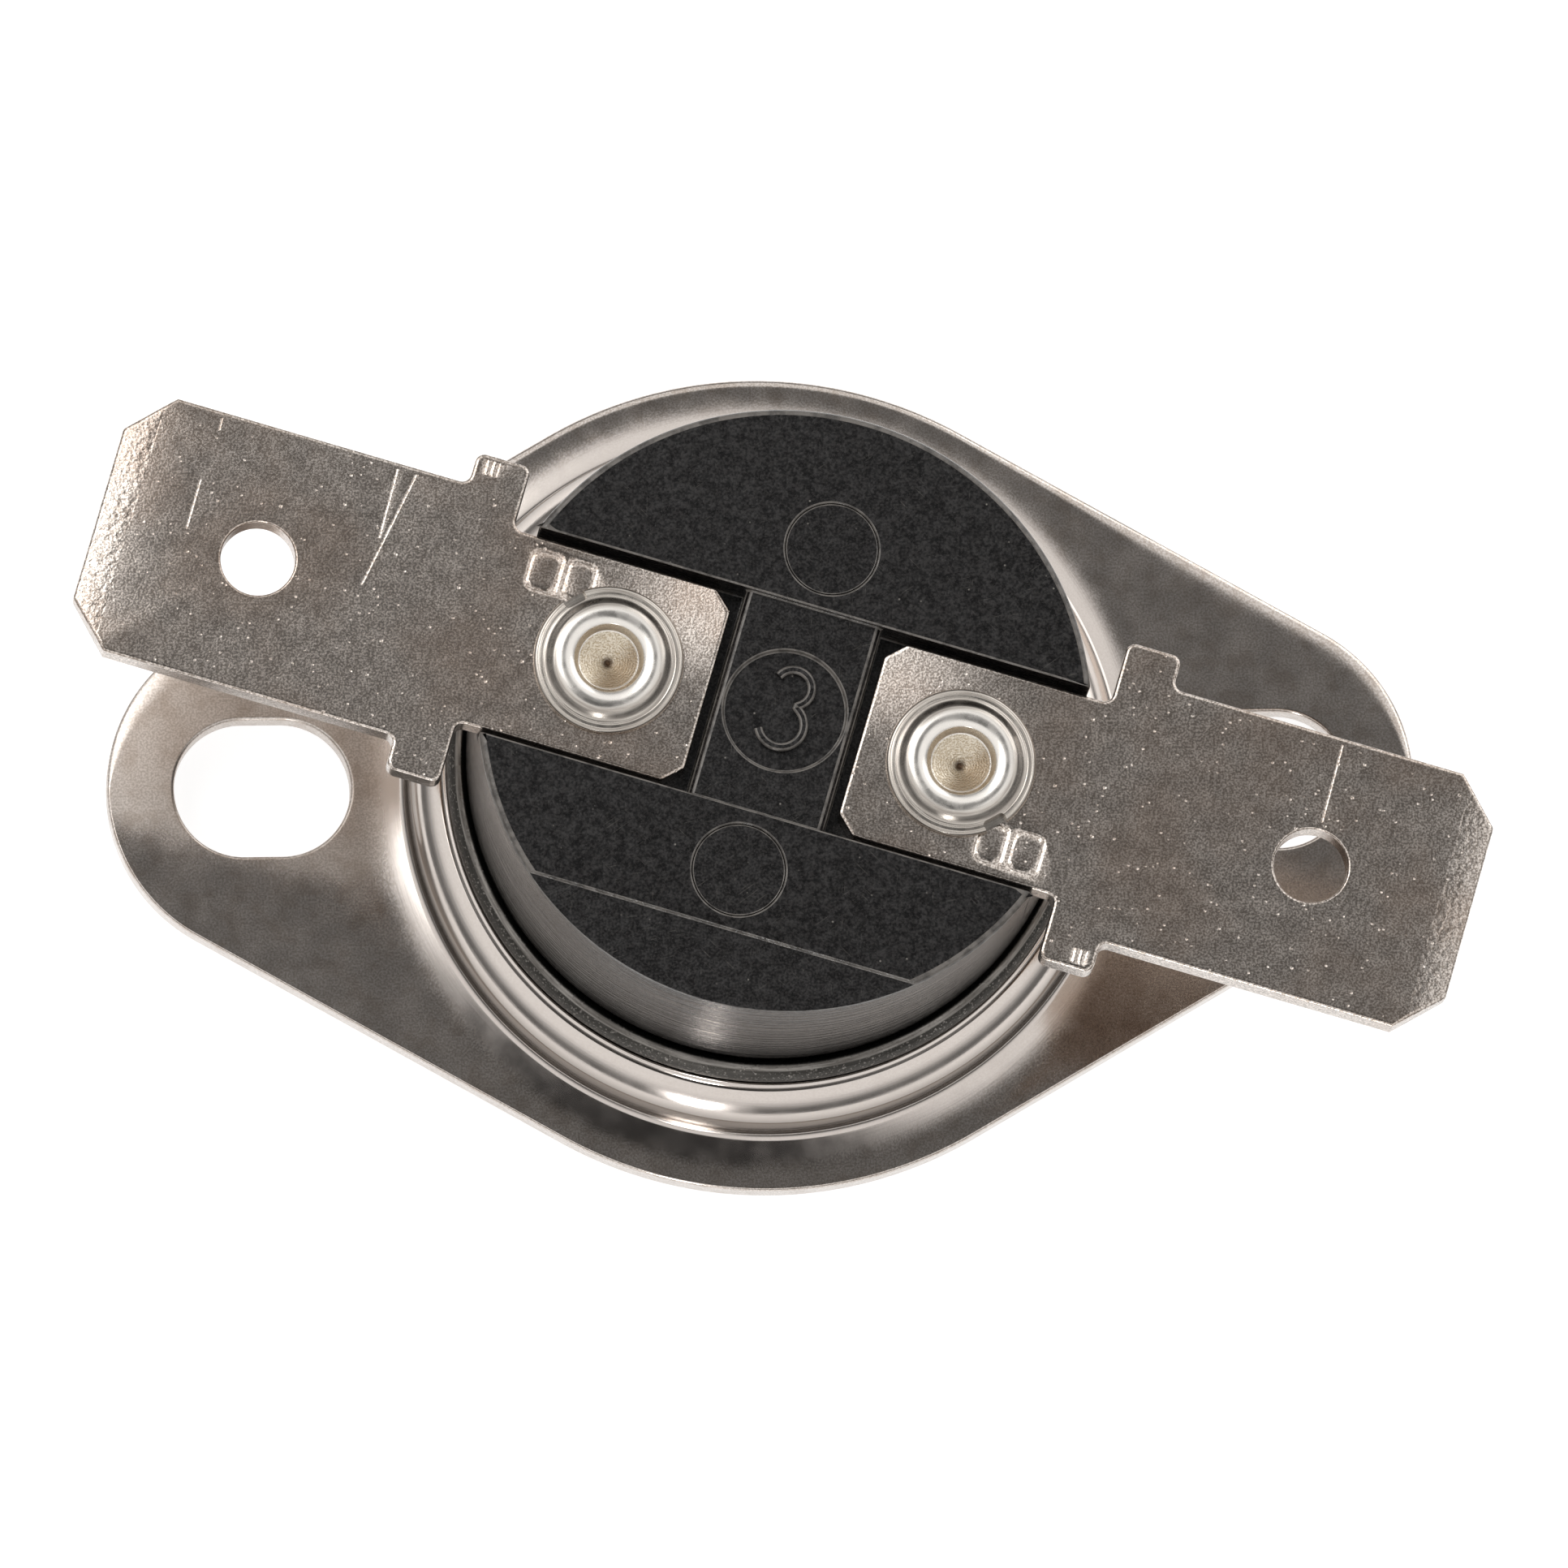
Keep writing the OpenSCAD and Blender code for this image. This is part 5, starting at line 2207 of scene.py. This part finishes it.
@dataclass
class Studio:
    """The pale table, the soft light round it and the camera of the photograph."""

    # The camera: what it looks at, its distance and direction, its shift and its lens.
    focus: tuple[float, float, float] = (0.0, 0.0, 10.0)
    distance: float = 500.0
    tilt: float = 12.0
    azimuth: float = -108.9
    up_azimuth: float = 88.75
    aim_up: float = -1.687
    aim_right: float = -0.013
    lens: float = 489.96
    sensor: float = 36.0
    clip: Span = (10.0, 20000.0)
    # The table lies a hair low, so that it doesn't flicker with the cap's face.
    floor_half: float = 3000.0
    floor_z: float = -0.01
    paper: str = "#b4b4b4"
    table_glow: float = 0.8
    # The light tent: dim patches overhead, a dim horizon, and the lamps round it.
    shades: tuple[Shade, ...] = (
        Shade(12.0, 66.0, 18.0, 7.0, 0.15), Shade(10.0, -108.9, 17.0, 11.0, 0.02))
    tent_glow: float = 1.02
    horizon: Span = (0.15, 0.6)
    horizon_glow: float = 0.16
    lit: tuple[float, float, float] = (0.0, 0.0, 5.0)
    boxes: tuple[SoftBox, ...] = (
        SoftBox("left_box", (-105.0, 79.0, 175.0), (110.0, 150.0), 2.2),
        SoftBox("front_spot", (-49.0, -230.0, 45.0), (24.0, 70.0), 15.0),
        SoftBox("right_box", (150.0, 130.0, 95.0), (190.0, 110.0), 1.3),
    )

    def camera(self) -> None:
        """Sets up the camera from its fitted direction and distance."""
        to_camera = direction(self.tilt, self.azimuth)
        upward = direction(90.0, self.up_azimuth)
        y = (upward - to_camera * upward.dot(to_camera)).normalized()
        x = y.cross(to_camera)
        aim = Vector(self.focus) + y * self.aim_up + x * self.aim_right
        place = (aim + to_camera * self.distance) * MM
        data = bpy.data.cameras.new("photo_camera")
        data.lens = self.lens
        data.sensor_width = self.sensor
        data.clip_start, data.clip_end = self.clip[0] * MM, self.clip[1] * MM
        camera = bpy.data.objects.new("photo_camera", data)
        turn = Matrix((x, y, to_camera)).transposed()
        camera.matrix_world = Matrix.Translation(place) @ turn.to_4x4()
        bpy.context.scene.collection.objects.link(camera)
        bpy.context.scene.camera = camera

    def table(self) -> bpy.types.Object:
        """A matt white table whose own glow is seen but lights nothing diffuse.

        Returns:
            The table.
        """
        half, low = self.floor_half * MM, self.floor_z * MM
        mesh = bpy.data.meshes.new("table")
        corners = ((-half, -half), (half, -half), (half, half), (-half, half))
        mesh.from_pydata([(x, y, low) for x, y in corners], [], [(0, 1, 2, 3)])
        table = new_object("table", mesh)
        material = bpy.data.materials.new("white_card")
        material.use_nodes = True
        tree = material.node_tree
        tree.nodes.clear()
        paper = add(tree, "ShaderNodeBsdfDiffuse", {"Color": linear(self.paper)})
        rays = add(tree, "ShaderNodeLightPath").outputs
        seen = Reading(tree, rays["Is Camera Ray"]).most(rays["Is Glossy Ray"])
        seen = seen.most(rays["Is Transmission Ray"])
        glow = add(tree, "ShaderNodeEmission",
                   {"Color": (1, 1, 1, 1), "Strength": seen * self.table_glow})
        both = add(tree, "ShaderNodeAddShader", {0: paper.outputs[0], 1: glow.outputs[0]})
        add(tree, "ShaderNodeOutputMaterial", {"Surface": both.outputs[0]})
        mesh.materials.append(material)
        return table

    def sky(self) -> None:
        """A light tent: dim at the horizon, bright higher up, with the dim patches overhead."""
        world = bpy.data.worlds.new("light_tent")
        bpy.context.scene.world = world
        world.use_nodes = True
        tree = world.node_tree
        tree.nodes.clear()
        way = add(tree, "ShaderNodeTexCoord").outputs["Generated"]
        up = Reading(tree, add(tree, "ShaderNodeSeparateXYZ", {0: way}).outputs[2])
        tent = up.ramp(self.horizon, (self.horizon_glow, self.tent_glow))
        for patch in self.shades:
            near = add(tree, "ShaderNodeVectorMath",
                       {0: way, 1: direction(patch.tilt, patch.azimuth)}, operation="DOT_PRODUCT")
            edge = math.cos(math.radians(patch.outer)), math.cos(math.radians(patch.inner))
            tent = Reading(tree, near.outputs["Value"]).ramp(edge, (tent, patch.glow))
        strength = tent.most(add(tree, "ShaderNodeLightPath").outputs["Is Camera Ray"])
        glow = add(tree, "ShaderNodeBackground", {"Color": (1, 1, 1, 1), "Strength": strength})
        add(tree, "ShaderNodeOutputWorld", {"Surface": glow.outputs[0]})

    def build(self) -> None:
        """Sets up the camera, the table and the light."""
        self.camera()
        self.table()
        self.sky()
        for box in self.boxes:
            box.hang(self.lit)
        bpy.context.scene.view_settings.view_transform = "Standard"


def main() -> None:
    """Builds the studio and every piece, and reports each one."""
    logging.basicConfig(level=logging.INFO, format="%(name)s: %(message)s")
    Studio().build()
    shop = Workshop()
    blade = PlatedBlade().material()
    burnished = BurnishedRivet().material()
    pieces = [
        SensingCap().build(shop, DrawnCapMetal().material()),
        Bracket().build(shop, SatinNickelSheet().material()),
        Housing().build(shop, Phenolic().material()),
    ]
    works = Switchwork()
    pieces += [Terminal().build(shop, side, blade) for side in Side]
    seats = {Side.LEFT: works.arm_low, Side.RIGHT: works.plate_low}
    pieces += [Rivet().build(shop, side, seat, burnished) for side, seat in seats.items()]
    pieces.append(works.arm(PlainMetal("beryllium_copper_leaf", "#d9a066", "#a8703f").material()))
    pieces.append(works.pin(shop, PlainMoulding("fired_steatite", "#efe9dc", "#d8cfbd").material()))
    silver = PlainMetal("fine_silver_contact", "#e6e4df", "#bdb9b2").material()
    works.dress({
        "guide_plate": PlainMoulding("brown_phenolic", "#4a3527", "#2c1f17").material(),
        "bimetal_disc": PlainMetal("bimetal_strip", "#b9b0a2", "#8d7f68").material(),
        "fixed_plate": PlainMetal("rolled_brass", "#d8b871", "#a58648").material(),
        "moving_contact": silver,
        "fixed_contact": silver,
    })
    for piece in pieces:
        piece.data.calc_loop_triangles()
        log.info("%s: %d triangles", piece.name, len(piece.data.loop_triangles))


if __name__ == "__main__":
    main()
